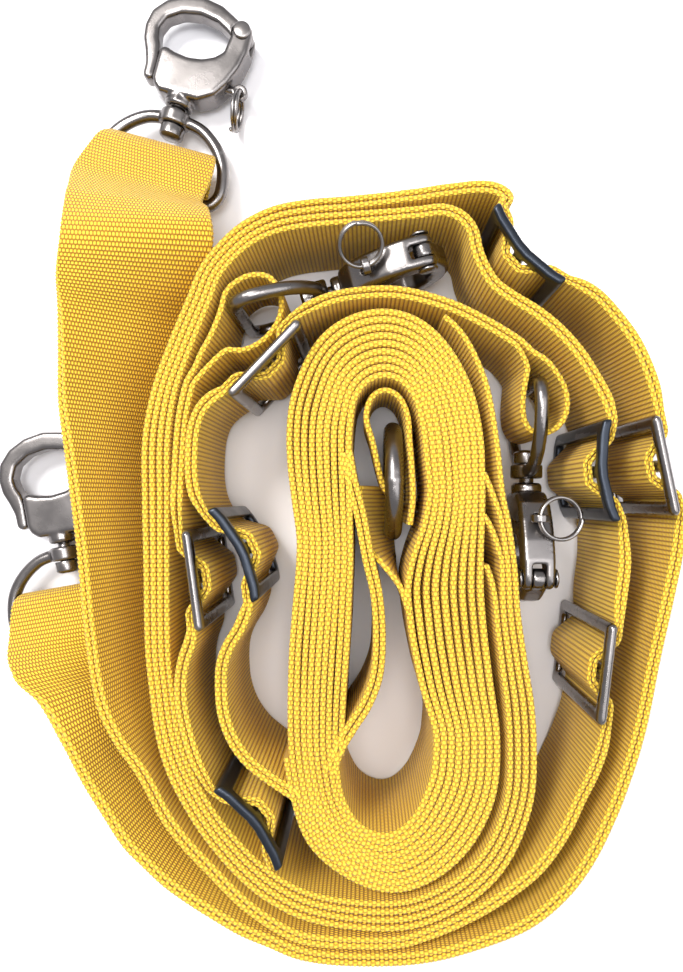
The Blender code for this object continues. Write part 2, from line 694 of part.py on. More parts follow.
HANK_OUTSIDE = [
    (-27.6, 33.3), (-28.6, 20.0), (-28.0, 10.0), (-26.6, 0.0), (-24.5, -13.0), (-25.0, -23.0),
    (-26.3, -35.0), (-27.8, -50.0), (-28.3, -66.0), (-28.0, -80.0), (-26.9, -91.0),
    (-24.2, -104.0), (-20.6, -114.5), (-14.5, -121.5), (-6.0, -127.3), (3.0, -131.5),
    (12.0, -132.6), (21.0, -129.5), (29.0, -124.5), (36.0, -117.5), (41.5, -108.5),
    (45.2, -98.5), (46.2, -88.0), (46.0, -76.0), (44.2, -62.0), (42.4, -45.0), (41.3, -30.0),
    (41.3, 18.0), (39.8, 29.0), (37.3, 38.5), (33.8, 46.0), (29.8, 52.5), (25.0, 58.3),
    (19.5, 62.8), (12.5, 65.8), (4.0, 66.6), (-5.0, 64.6), (-14.0, 59.6), (-20.4, 51.6),
    (-24.6, 42.0),
]
HANK_INSIDE = [
    (-3.6, 0.0), (-3.3, -20.0), (-4.7, -46.7), (-6.2, -66.0), (-7.0, -82.0), (-6.0, -96.0),
    (-2.5, -105.5), (4.0, -109.8), (10.5, -109.0), (16.0, -102.5), (20.0, -91.0),
    (21.2, -78.3), (16.0, -63.3), (12.6, -46.7), (10.6, -30.0), (13.0, -19.0), (17.7, -8.0),
    (19.9, 3.3), (18.6, 12.0), (17.6, 23.3), (16.2, 31.7), (12.4, 37.8), (6.7, 40.2),
    (0.6, 37.8), (-2.9, 32.0), (-3.6, 20.0),
]


def hank(name):
    points, faces = plate(HANK_OUTSIDE, 0.0, WEB_WIDTH)
    made = solid(name, points, faces, WEBBING)
    points, faces = plate(HANK_INSIDE, -5.0, WEB_WIDTH + 5.0)
    joined(made, solid(name + "_hole", points, faces, WEBBING, helper=True), "DIFFERENCE")


hank("hank")
ribbon(
    "hank_inner_strand",
    smooth(
        upright(
            [(1.2, -20.0), (3.9, -32.0), (4.8, -46.7), (3.8, -59.0), (0.3, -68.5), (-4.2, -75.6)]
        )
    ),
)

# The ring stands on edge in the top of the hank, with one strand through it.
ring_at = Vector((10.0, 6.8, RING_RADIUS + RING_ROD + 4.5))
ring_path = [(0.0, RING_RADIUS * math.cos(a), RING_RADIUS * math.sin(a)) for a in
             [2 * math.pi * i / 28 for i in range(28)]]
solid("centre_ring", *rod(ring_path, RING_ROD, 10, True, (1, 0, 0)), BRIGHT,
      Matrix.Translation(ring_at))
sling = [
    (13.4, -1.2, 22), (10.0, 0.6, 22), (6.6, 4.6, 24), (4.7, 11.0, 30), (2.6, 20.0, 36),
    (0.4, 28.0, 40), (2.2, 34.8, 40), (6.6, 37.4, 40), (11.4, 35.2, 40), (14.4, 29.0, 40),
    (15.2, 20.0, 40), (16.0, 10.0, 40), (16.3, 0.0, 40), (15.3, -8.5, 40),
]
ribbon(
    "ring_sling",
    smooth([[x, y, ring_at.z, 0, 180, width, SINGLE] for x, y, width in sling]),
)
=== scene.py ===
# %% [markdown]
# # A coiled strap set with four snap shackles
# Four legs of doubled yellow webbing are wound on edge into one coil. Each leg has a bright slide,
# a bowed dark slide and a snap shackle, and a round ring stands in the middle of the coil.
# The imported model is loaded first. It is the fixed frame that every finished piece has to fit.

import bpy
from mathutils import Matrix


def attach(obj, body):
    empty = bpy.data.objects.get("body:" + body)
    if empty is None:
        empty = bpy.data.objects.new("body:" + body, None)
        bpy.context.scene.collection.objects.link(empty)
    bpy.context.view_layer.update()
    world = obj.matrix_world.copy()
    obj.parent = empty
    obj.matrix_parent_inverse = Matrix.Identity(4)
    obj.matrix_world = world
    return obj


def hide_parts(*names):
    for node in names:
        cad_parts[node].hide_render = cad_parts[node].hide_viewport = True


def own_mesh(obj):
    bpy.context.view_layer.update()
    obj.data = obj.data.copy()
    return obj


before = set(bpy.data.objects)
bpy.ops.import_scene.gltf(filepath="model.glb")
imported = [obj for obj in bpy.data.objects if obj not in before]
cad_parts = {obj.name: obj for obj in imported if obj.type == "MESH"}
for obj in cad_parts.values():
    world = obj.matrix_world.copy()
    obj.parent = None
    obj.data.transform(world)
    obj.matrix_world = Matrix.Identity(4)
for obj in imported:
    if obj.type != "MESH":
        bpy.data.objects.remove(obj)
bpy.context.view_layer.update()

# %% [markdown]
# Every measure below is in millimetres, on the bench where the coil was laid out. One function
# turns such a point into Blender's metres and moves it to the place where the frame stands.

# %% Millimetres and places
import math

import bpy
import numpy as np
from mathutils import Matrix, Vector, noise

MM = 0.001
HOME = Vector((17.69, -18.77, 0.0))


def metres(point):
    return (Vector(point) + HOME) * MM


print("the camera's foot is at", metres((0, 0, 0)))

# %% [markdown]
# The finishes are built from shader nodes. A node takes three or four lines to make and join, so a
# few small helpers come first, and each finish then reads like the sum that it stands for.

# %% A helper for small node sums
def new_group(name, inputs, outputs):
    """A shader node group with named number or vector sockets. A name that starts with a capital
    V and a colon is a vector."""
    tree = bpy.data.node_groups.new(name, "ShaderNodeTree")
    for way, labels in (("INPUT", inputs), ("OUTPUT", outputs)):
        for label in labels:
            kind = "NodeSocketVector" if label.startswith("V:") else "NodeSocketFloat"
            tree.interface.new_socket(label.removeprefix("V:"), in_out=way, socket_type=kind)
    return tree, tree.nodes.new("NodeGroupInput"), tree.nodes.new("NodeGroupOutput")


def feed(tree, socket, value):
    if isinstance(value, bpy.types.NodeSocket):
        tree.links.new(value, socket)
    else:
        socket.default_value = value


def sum_of(tree, operation, *values):
    node = tree.nodes.new("ShaderNodeMath")
    node.operation = operation
    for socket, value in zip(node.inputs, values):
        feed(tree, socket, value)
    return node.outputs[0]


def blurred(tree, vector, scale, detail=3.0):
    """Soft cloudy variation, from 0 to 1."""
    node = tree.nodes.new("ShaderNodeTexNoise")
    feed(tree, node.inputs["Vector"], vector)
    node.inputs["Scale"].default_value = scale
    node.inputs["Detail"].default_value = detail
    return node.outputs["Fac"]


def mixed(tree, amount, first, second):
    """Two colours mixed by an amount from 0 to 1."""
    node = tree.nodes.new("ShaderNodeMix")
    node.data_type = "RGBA"
    feed(tree, node.inputs[0], amount)
    for socket, value in ((node.inputs[6], first), (node.inputs[7], second)):
        feed(tree, socket, (*value, 1.0) if isinstance(value, tuple) else value)
    return node.outputs[2]


def between(tree, value, low, high):
    """0 below low, 1 above high."""
    node = tree.nodes.new("ShaderNodeMapRange")
    node.interpolation_type = "SMOOTHSTEP"
    feed(tree, node.inputs["Value"], value)
    node.inputs["From Min"].default_value = low
    node.inputs["From Max"].default_value = high
    return node.outputs["Result"]

# %% [markdown]
# Webbing is woven in short raised grains, and each row of grains is set half a grain over from the
# row before it, like bricks. The pattern could be painted as an image, but a node group keeps it
# sharp at any distance. It reads the strap's own UV map, which holds real distances along and
# across the strap, so the grains keep their size and follow every bend.

# %% The weave
ROW_PITCH = 1.5 * MM  # from one row of grains to the next, along the strap
GRAIN_PITCH = 1.2 * MM  # from one grain to the next, across the strap

weave, given, made = new_group("weave", ["V:Cloth"], ["Height", "Crown"])
split = weave.nodes.new("ShaderNodeSeparateXYZ")
weave.links.new(given.outputs["Cloth"], split.inputs[0])
rows = sum_of(weave, "DIVIDE", split.outputs["X"], ROW_PITCH)
odd = sum_of(weave, "MULTIPLY", sum_of(weave, "MODULO", sum_of(weave, "FLOOR", rows), 2.0), 0.5)
grains = sum_of(weave, "ADD", sum_of(weave, "DIVIDE", split.outputs["Y"], GRAIN_PITCH), odd)
humps = []
for count in (rows, grains):
    wave = sum_of(weave, "SINE", sum_of(weave, "MULTIPLY", sum_of(weave, "FRACT", count), math.pi))
    humps.append(sum_of(weave, "POWER", wave, 0.6))
height = sum_of(weave, "MULTIPLY", *humps)
weave.links.new(height, made.inputs["Height"])
# The crown mask is also where the webbing's painted shade between the grains gives way to the yarn colour.
weave.links.new(between(weave, height, 0.30, 0.95), made.inputs["Crown"])
print("weave: rows", ROW_PITCH, "m apart, grains", GRAIN_PITCH, "m apart")

# %% [markdown]
# Steel shows small differences that a single value of gloss leaves out: cloudy finger marks, fine
# scratches, a polish on the edges that rub, and dirt in the corners together with painted shade that
# darkens the hollows. They are put in one group too, because the bright and the dark steel share
# them. The sharpness of an edge comes from the material, as Pointiness, and the group turns all of
# it into four masks.

# %% Wear, dirt and painted shade on steel
wear, given, made = new_group("steel wear and shade", ["V:Place", "Sharpness"], ["Rubbed", "Dirt and shade", "Clouds", "Grain"])
place = given.outputs["Place"]
clouds = blurred(wear, place, 90.0, 4.0)
grain = blurred(wear, place, 1400.0, 2.0)
uneven = sum_of(wear, "MULTIPLY", sum_of(wear, "SUBTRACT", clouds, 0.5), 0.08)
sharpness = sum_of(wear, "ADD", given.outputs["Sharpness"], uneven)
wear.links.new(between(wear, sharpness, 0.52, 0.60), made.inputs["Rubbed"])
# Dirt and painted shade: low pointiness marks the hollows, and this mask darkens their colour.
dirt_and_shade = sum_of(wear, "SUBTRACT", 1.0, between(wear, sharpness, 0.40, 0.49))
wear.links.new(dirt_and_shade, made.inputs["Dirt and shade"])
wear.links.new(clouds, made.inputs["Clouds"])
wear.links.new(grain, made.inputs["Grain"])
print("steel wear and shade: masks", [socket.name for socket in made.inputs if socket.name])

# %% [markdown]
# The webbing is a golden polyester or nylon weave. It is bright lemon on the crowns of the grains,
# and the grooves between them carry a painted shade of orange brown. Broad clouds of a warmer yellow
# break up the long straps, and the woven edge, which the mesh marks with an attribute, is a little
# paler where it has rubbed.

# %% Webbing material
def material(name):
    made = bpy.data.materials.new(name)
    made.use_nodes = True
    return made, made.node_tree, made.node_tree.nodes["Principled BSDF"]


def placed(tree, group):
    node = tree.nodes.new("ShaderNodeGroup")
    node.node_tree = group
    return node


def bumped(tree, height, strength, distance):
    node = tree.nodes.new("ShaderNodeBump")
    node.inputs["Strength"].default_value = strength
    node.inputs["Distance"].default_value = distance
    tree.links.new(height, node.inputs["Height"])
    return node.outputs["Normal"]


def webbing_material(name, crown, groove_shade, warm, rubbed):
    made, tree, shader = material(name)
    cloth = tree.nodes.new("ShaderNodeUVMap")
    cloth.uv_map = "cloth"
    cells = placed(tree, weave)
    tree.links.new(cloth.outputs["UV"], cells.inputs["Cloth"])
    where = tree.nodes.new("ShaderNodeTexCoord").outputs["Object"]
    clouds = between(tree, blurred(tree, where, 22.0), 0.40, 0.68)
    yarn = mixed(tree, sum_of(tree, "MULTIPLY", clouds, 0.55), crown, warm)
    # Painted shade: between the grains the yarn is darkened to the groove colour, which stands in for
    # shade.
    yarn = mixed(tree, cells.outputs["Crown"], groove_shade, yarn)
    selvedge = tree.nodes.new("ShaderNodeAttribute")
    selvedge.attribute_name = "selvedge"
    edge = sum_of(tree, "MULTIPLY", selvedge.outputs["Fac"], 0.35)
    colour = mixed(tree, edge, yarn, rubbed)
    tree.links.new(colour, shader.inputs["Base Color"])
    tree.links.new(bumped(tree, cells.outputs["Height"], 0.9, 0.45 * MM), shader.inputs["Normal"])
    fuzz = blurred(tree, where, 900.0)
    rough = sum_of(tree, "ADD", sum_of(tree, "MULTIPLY", fuzz, 0.2), 0.55)
    tree.links.new(rough, shader.inputs["Roughness"])
    shader.inputs["Sheen Weight"].default_value = 0.12
    shader.inputs["Specular IOR Level"].default_value = 0.35
    return made


WEBBING = webbing_material(
    "golden webbing",
    crown=(0.88, 0.60, 0.040),
    # the groove colour is painted shade between the grains
    groove_shade=(0.36, 0.165, 0.008),
    warm=(0.83, 0.49, 0.022),
    rubbed=(0.88, 0.62, 0.06),
)
print("webbing nodes:", len(WEBBING.node_tree.nodes))

# %% [markdown]
# The shackles and half of the slides are warm grey cast or stamped stainless steel. The bowed
# slides are blackened, with a blue tint and bright rubbed corners. Both are the same recipe with
# other colours, so one function makes them.

# %% Steel materials
def steel_material(name, metal, rubbed, dirt_and_shade, roughness, metallic):
    made, tree, shader = material(name)
    where = tree.nodes.new("ShaderNodeTexCoord").outputs["Object"]
    marks = placed(tree, wear)
    tree.links.new(where, marks.inputs["Place"])
    sharp = tree.nodes.new("ShaderNodeNewGeometry").outputs["Pointiness"]
    tree.links.new(sharp, marks.inputs["Sharpness"])
    cloudy = tuple(part * 0.72 for part in metal)
    colour = mixed(tree, marks.outputs["Clouds"], cloudy, metal)
    colour = mixed(tree, sum_of(tree, "MULTIPLY", marks.outputs["Rubbed"], 0.6), colour, rubbed)
    # Dirt and painted shade: the hollows are darkened almost to black.
    colour = mixed(tree, sum_of(tree, "MULTIPLY", marks.outputs["Dirt and shade"], 0.8), colour, dirt_and_shade)
    tree.links.new(colour, shader.inputs["Base Color"])
    rough = sum_of(tree, "MULTIPLY", marks.outputs["Clouds"], 0.25)
    rough = sum_of(tree, "ADD", rough, sum_of(tree, "MULTIPLY", marks.outputs["Dirt and shade"], 0.2))
    tree.links.new(sum_of(tree, "ADD", rough, roughness), shader.inputs["Roughness"])
    shader.inputs["Metallic"].default_value = metallic
    tree.links.new(bumped(tree, marks.outputs["Grain"], 0.12, 0.1 * MM), shader.inputs["Normal"])
    return made


BRIGHT = steel_material(
    "bright steel",
    metal=(0.235, 0.218, 0.212),
    rubbed=(0.46, 0.44, 0.425),
    # the dark colour for dirt and painted shade in the hollows
    dirt_and_shade=(0.045, 0.036, 0.032),
    roughness=0.15,
    metallic=1.0,
)
DARK = steel_material(
    "blackened steel",
    metal=(0.030, 0.036, 0.048),
    rubbed=(0.14, 0.16, 0.19),
    # the dark colour for dirt and painted shade in the hollows
    dirt_and_shade=(0.008, 0.008, 0.010),
    roughness=0.22,
    metallic=0.8,
)
print("steel nodes:", len(BRIGHT.node_tree.nodes), len(DARK.node_tree.nodes))

# %% [markdown]
# A strap is a flat ribbon with rounded, slightly beaded edges, wound on edge. It is far too thin
# and regular for sculpting, and an Array along a curve would stretch its weave, so the mesh is
# swept in code. Its route is a list of stations: x, y, height of the middle, lean from upright,
# the way the top leans, width, and thickness of all layers together.

# %% The route of a strap
WEB_WIDTH = 50.0
PAIR = 4.4
SINGLE = 2.2
STEP = 0.75  # half of a row of the weave, so that every other section makes a bead on the edge
CORNER_ROUNDS = 2  # how often the corners of a route are rounded off


def smooth(stations, step=STEP):
    """The stations joined by a smooth curve with a point about every step."""
    gaps = [math.dist(a[:3], b[:3]) for a, b in zip(stations, stations[1:])]
    slopes = []
    for i in range(len(stations)):
        low, high = max(i - 1, 0), min(i + 1, len(stations) - 1)
        span = sum(gaps[low:high])
        slopes.append([(b - a) / span for a, b in zip(stations[low], stations[high])])
    path = [list(stations[0])]
    for i, gap in enumerate(gaps):
        count = max(1, round(gap / step))
        for k in range(1, count + 1):
            t = k / count
            start = 2 * t**3 - 3 * t**2 + 1
            leave, arrive = (t**3 - 2 * t**2 + t) * gap, (t**3 - t**2) * gap
            ends = zip(stations[i], stations[i + 1], slopes[i], slopes[i + 1])
            path.append([start * a + (1 - start) * b + leave * p + arrive * q for a, b, p, q in ends])
    return path


def upright(rows, thickness=PAIR):
    """Stations of a strap standing on its edge, from (x, y) or (x, y, height of the middle)."""
    return [[*row[:2], row[2] if len(row) > 2 else 25.0, 0, 180, WEB_WIDTH, thickness] for row in rows]


def even(path):
    """The path with points at even distances, its corners rounded off."""
    path = np.array(path, float)
    for _ in range(CORNER_ROUNDS):
        path[1:-1] = (path[:-2] + 2 * path[1:-1] + path[2:]) / 4
    far = np.concatenate([[0], np.cumsum(np.linalg.norm(np.diff(path[:, :3], axis=0), axis=1))])
    marks = np.linspace(0, far[-1], max(2, round(far[-1] / STEP) + 1))
    return np.stack([np.interp(marks, far, column) for column in path.T], axis=1), marks


print("a strap is", WEB_WIDTH, "mm wide, with a section every", STEP, "mm")


# %% [markdown]
# One layer of webbing is a section of twelve points, swept along that route. The section is 2 mm
# thick with a rounded, beaded edge, because the selvedge is what shows from above. UVs are real
# distances in metres, and an attribute marks the selvedge for the material.

# %% One layer of webbing
CLOTH_THICKNESS = 2.0
DRIFT_LENGTH, LIFT_LENGTH = 38.0, 55.0  # how slowly a layer strays sideways, and its width changes
LAYERS = {}


def layer(name, path, offset=0.0, thickness=CLOTH_THICKNESS, wander=0.15, seed=0):
    """Sweeps one layer along the path. Offset, thickness and wander may be arrays."""
    rows, marks = even(path)
    count = len(rows)

    def at(value):
        if np.isscalar(value):
            return value
        return np.interp(marks / marks[-1], np.linspace(0, 1, len(value)), value)

    centre = rows[:, :3].copy()
    ahead = np.gradient(centre, axis=0)
    ahead /= np.linalg.norm(ahead, axis=1)[:, None]
    lean, way = np.radians(rows[:, 3]), np.radians(rows[:, 4])
    across = np.stack([np.sin(lean) * np.cos(way), np.sin(lean) * np.sin(way), np.cos(lean)], axis=1)
    out = np.cross(ahead, across)
    out /= np.linalg.norm(out, axis=1)[:, None]
    drift = np.array([noise.noise(Vector((mark / DRIFT_LENGTH, seed * 7.3, 0.5))) for mark in marks])
    lift = np.array([noise.noise(Vector((mark / LIFT_LENGTH, seed * 5.1, 9.5))) for mark in marks])
    centre += out * (at(offset) + drift * at(wander))[:, None]
    half_width = rows[:, 5] / 2 - 0.35 + lift * 0.3
    half = np.broadcast_to(at(thickness), count) / 2
    bead = np.where(np.arange(count) % 2, 0.16, -0.16)
    section = [
        (-1, 0.75, -1.0, 0), (0, 0, -1.0, 0), (1, 0.75, -1.0, 0), (1, 0.18, -0.74, 1),
        (1, 0.0, 0.0, 1), (1, 0.18, 0.74, 1), (1, 0.75, 1.0, 0), (0, 0, 1.0, 0),
        (-1, 0.75, 1.0, 0), (-1, 0.18, 0.74, 1), (-1, 0.0, 0.0, 1), (-1, 0.18, -0.74, 1),
    ]
    points, selvedge, girth = [], [], [0.0]
    for side, inset, depth, edge in section:
        reach = side * (half_width - inset + (bead if edge else 0.0))
        spot = centre + across * reach[:, None] + out * (depth * half * (1 + 0.35 * edge * bead))[:, None]
        points.append(spot)
        selvedge.append(np.full(count, float(edge)))
    flat = [(side * (WEB_WIDTH / 2 - inset), depth) for side, inset, depth, _ in section]
    for here, there in zip(flat, flat[1:] + flat[:1]):
        girth.append(girth[-1] + math.dist(here, there))
    sides = len(section)
    points = np.stack(points, axis=1).reshape(-1, 3)
    selvedge = np.stack(selvedge, axis=1).ravel()
    i, k = np.meshgrid(np.arange(count - 1), np.arange(sides), indexing="ij")
    i, k = i.ravel(), k.ravel()
    m = (k + 1) % sides
    faces = np.stack([i * sides + k, (i + 1) * sides + k, (i + 1) * sides + m, i * sides + m], axis=1)
    along = np.stack([marks[i], marks[i + 1], marks[i + 1], marks[i]], axis=1)
    side = np.array(girth)
    round_it = np.stack([side[k], side[k], side[k + 1], side[k + 1]], axis=1)
    ends = [list(range(sides)), list(range((count - 1) * sides, count * sides))[::-1]]
    mesh = bpy.data.meshes.new(name)
    placed_points = (points + np.array(HOME)) * MM
    mesh.from_pydata(placed_points.tolist(), [], faces.tolist() + ends)
    cloth = np.stack([along.ravel(), round_it.ravel()], axis=1)
    caps = np.array([[end, part] for end in (marks[0], marks[-1]) for part in side[:-1]])
    uv = mesh.uv_layers.new(name="cloth")
    uv.data.foreach_set("uv", (np.concatenate([cloth, caps]) * MM).ravel())
    mark = mesh.attributes.new("selvedge", "FLOAT", "POINT")
    mark.data.foreach_set("value", selvedge)
    mesh.polygons.foreach_set("use_smooth", [True] * len(faces) + [False, False])
    mesh.materials.append(WEBBING)
    mesh.update()
    made = bpy.data.objects.new(name, mesh)
    bpy.context.scene.collection.objects.link(made)
    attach(made, "coil")
    LAYERS[name] = marks[-1] * MM
    return made


print("a layer is", CLOTH_THICKNESS, "mm thick")

# %% [markdown]
# Every slide grips its strap in the same way. The webbing passes behind the first bar, over the
# middle one and behind the last. A small class keeps a slide's place and gives the six stations of
# that crossing, so that each strap is threaded in the same way.

# %% Slides and the webbing in them
SLIDE_LENGTH = 33.0
THREAD = 3.5  # from the slide's middle plane to the middle of the webbing
SLIDE_PAIR = 3.2
TURN_IN, TURN_OUT = 10.5, 3.5  # where the webbing turns through a slot, from the slide's middle
BOW = 3.0


class Crossing:
    """A slide's middle, the way the strap runs through it, and how far it is bowed."""

    def __init__(self, x, y, way, bow=0.0):
        self.middle = Vector((x, y))
        self.along = Vector((math.cos(math.radians(way)), math.sin(math.radians(way))))
        self.inward = Vector((-self.along.y, self.along.x))
        self.bow = bow

    def at(self, u, n):
        sag = self.bow * max(0.0, 1 - (2 * u / SLIDE_LENGTH) ** 2)
        return self.middle + self.along * u + self.inward * (n + sag)

    def stations(self):
        half = SLIDE_LENGTH / 2
        turns = [(-half, -THREAD), (-TURN_IN, -THREAD), (-TURN_OUT, THREAD)]
        turns += [(-u, n) for u, n in reversed(turns)]
        return [[*self.at(u, n), 30.0, 0, 180, WEB_WIDTH, SLIDE_PAIR] for u, n in turns]


def joined_path(*stretches):
    """Curves and slide crossings in the order the strap runs through them."""
    path = []
    for number, stretch in enumerate(stretches):
        if isinstance(stretch, Crossing):
            crossing = stretch.stations()
            for here, there in zip(crossing, crossing[1:]):
                count = max(1, round(math.dist(here[:3], there[:3]) / STEP))
                for k in range(count):
                    path.append([a + (b - a) * k / count for a, b in zip(here, there)])
            path.append(crossing[-1])
            continue
        first = path[-1:] if path else []
        rest = stretches[number + 1 :]
        last = [rest[0].stations()[0]] if rest else []
        curve = smooth(first + stretch + last)
        path += curve[len(first) : len(curve) - len(last)]
    return path


print("the strap turns", TURN_IN, "and", TURN_OUT, "mm from a slide's middle")

# %% [markdown]
# A leg is one long piece of webbing folded in two round the end bar of its shackle. It runs up one
# side of the doubled strap, round the bar, and back down the other side. Modelling it so gives the
# two parallel edges that show from above, and a real loop at the bar.

# %% A folded leg
PAIR_GAP = 1.04  # how far apart the layers' middles lie, as a share of half the pair's thickness
LAYER_SHARE = 0.455  # one layer's thickness, as a share of the pair's
JOIN_LENGTH = 4  # what the loop takes off the doubled strap, for a smooth join


def beside(path, side):
    """The route of one of the two layers of a doubled strap, on the left or the right of it."""
    rows = np.array(path, float)
    ahead = np.gradient(rows[:, :3], axis=0)
    lean, way = np.radians(rows[:, 3]), np.radians(rows[:, 4])
    across = np.stack([np.sin(lean) * np.cos(way), np.sin(lean) * np.sin(way), np.cos(lean)], axis=1)
    out = np.cross(ahead, across)
    out /= np.linalg.norm(out, axis=1)[:, None]
    rows[:, :3] += out * (side * rows[:, 6] / 4 * PAIR_GAP)[:, None]
    return rows


def folded_leg(name, eye, *stretches, node=None):
    """A leg from its loop at the bail to the far end. The loop's first station is where the
    webbing comes back to the doubled strap."""
    loop = smooth(eye + [stretches[0][0]])[:-1]
    doubled = joined_path(*stretches)
    there, back = beside(doubled, -1), beside(doubled, 1)
    first = np.array(eye[0][:3])
    near, far = there, back
    if np.linalg.norm(back[0, :3] - first) < np.linalg.norm(there[0, :3] - first):
        near, far = back, there
    loop = np.array(loop)
    cut = round(JOIN_LENGTH / STEP)
    route = np.concatenate([near[cut:][::-1], loop, far[cut:]])
    thick = np.clip(route[:, 6] * LAYER_SHARE, 0, CLOTH_THICKNESS)
    thick[len(near) - cut : len(near) - cut + len(loop)] = CLOTH_THICKNESS
    made = layer(name, route, thickness=thick, wander=0.05, seed=len(name) + len(LAYERS))
    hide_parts(node)
    print(name, "is one piece of webbing", round(LAYERS[name], 3), "m long")
    return made


print("a leg's two layers share", PAIR, "mm")

# %% [markdown]
# Each shackle has its own frame: the swivel is its origin, Y points at the jaw, and X and Z follow
# from whether it lies flat or stands on its edge. The loops of webbing and the metal pieces are all
# placed with it.

# %% Where the shackles are
BAIL_LENGTH = 33.5
BAIL_HALF_WIDTH = 24.0
BAIL_ROD = 2.4


def shackle_frame(x, y, height, way, on_edge):
    way = math.radians(way)
    ahead = Vector((math.cos(way), math.sin(way), 0.0))
    right = Vector((0.0, 0.0, 1.0)) if on_edge else Vector((ahead.y, -ahead.x, 0.0))
    frame_of = Matrix((right, ahead, right.cross(ahead))).transposed().to_4x4()
    frame_of.translation = (x, y, height)
    return frame_of


SHACKLES = {
    1: shackle_frame(-72.7, 150.8, 9.0, 75, False),
    2: shackle_frame(-116.5, -17.0, 9.0, 100, False),
    3: shackle_frame(-12.3, 75.2, 26.5, 16, True),
    4: shackle_frame(58.8, 6.8, 26.5, -90, True),
}


def flat_eye(number, rows):
    """Stations of a loop round the end bar of a shackle that lies flat. A row is the distance from
    the bar toward the swivel, the height, and the width that the webbing is bunched to."""
    ahead = (SHACKLES[number].to_3x3() @ Vector((0, 1, 0))).to_2d()
    bar = SHACKLES[number].translation.to_2d() - ahead * BAIL_LENGTH
    side = math.degrees(math.atan2(ahead.x, -ahead.y)) % 360
    return [[*(bar + ahead * away), height, 90, side, width, SINGLE] for away, height, width in rows]


def upright_eye(rows):
    """Stations of a loop round an end bar that stands upright, from (x, y, width)."""
    return [[x, y, BAIL_HALF_WIDTH + BAIL_ROD, 0, 180, width, SINGLE] for x, y, width in rows]


for leg, place in SHACKLES.items():
    print("the swivel of shackle", leg, "is at", tuple(round(v, 1) for v in place.translation))

# %% [markdown]
# The first leg starts flat, over the shackle in the far left corner. It turns from flat to upright
# along the left wall, goes right round the near side and ends under the far wall. The stations are
# the same that the solid was built from, so the leg lies exactly inside it.

# %% Leg 1
folded_leg(
    "leg_1",
    flat_eye(
        1,
        [
            (-15.0, 31.0, 46), (-13.0, 20.0, 42), (-9.0, 9.0, 37), (-3.0, 3.4, 37), (6.0, 2.8, 37),
            (14.0, 5.0, 37), (18.0, 11.5, 39), (14.5, 18.5, 45), (6.0, 23.0, 48), (-4.0, 28.0, 49),
        ],
    ),
    [
        [-79.0, 105.0, 39.5, 88, 172, 49, PAIR],
        [-76.3, 94.0, 48.0, 88, 178, 50, PAIR],
        [-76.3, 86.7, 48.5, 81, 180, 50, PAIR],
        [-79.3, 77.0, 42.5, 68, 180, 50, PAIR],
        [-83.0, 66.7, 35.0, 50, 180, 50, PAIR],
        [-86.0, 50.0, 30.5, 40, 180, 50, PAIR],
        [-89.0, 33.0, 27.0, 32, 180, 50, PAIR],
        [-89.5, 16.7, 25.2, 25, 180, 50, PAIR],
        [-86.9, -16.7, 25.2, 20, 180, 50, PAIR],
        [-85.5, -42.0, 25.2, 17, 182, 50, PAIR],
        [-82.2, -66.7, 25.4, 15, 190, 50, PAIR],
        [-78.5, -79.5, 25.5, 9, 200, 50, PAIR],
    ]
    + upright(
        [
            (-74.0, -92.0, 25.3), (-66.5, -106.2), (-60.1, -114.7), (-53.5, -121.8), (-40.4, -135.0),
            (-28.5, -143.3), (-20.0, -146.8), (-5.0, -148.2), (11.7, -148.0), (22.0, -145.0),
            (31.7, -141.0), (41.7, -135.7), (49.0, -130.8), (56.7, -124.6), (62.3, -118.0),
            (67.5, -109.7), (72.0, -100.0), (75.3, -91.5, 27.0), (78.0, -81.7, 29.0),
        ]
    ),
    Crossing(77.9, -56.1, 83.2),
    upright([(84.0, -33.0, 29.5), (85.4, -20.0, 29.5)]),
    Crossing(79.4, 9.5, 94.9, BOW),
    upright(
        [
            (79.6, 33.0, 29.5), (75.5, 41.0, 29.0), (70.5, 49.0, 28.5), (64.0, 56.5, 28.0),
            (57.0, 62.6, 27.0), (49.2, 67.8, 26.0), (43.4, 72.6), (39.4, 79.0), (37.4, 84.3),
            (36.0, 90.4), (32.2, 95.0), (26.2, 97.2), (18.6, 96.4), (12.0, 95.9),
        ]
    ),
    node="strap_1",
)

# %% [markdown]
# The second leg starts at the shackle by the left wall and lies outside the first one all the way.
# Its two slides stand on the right, the bright one outermost.

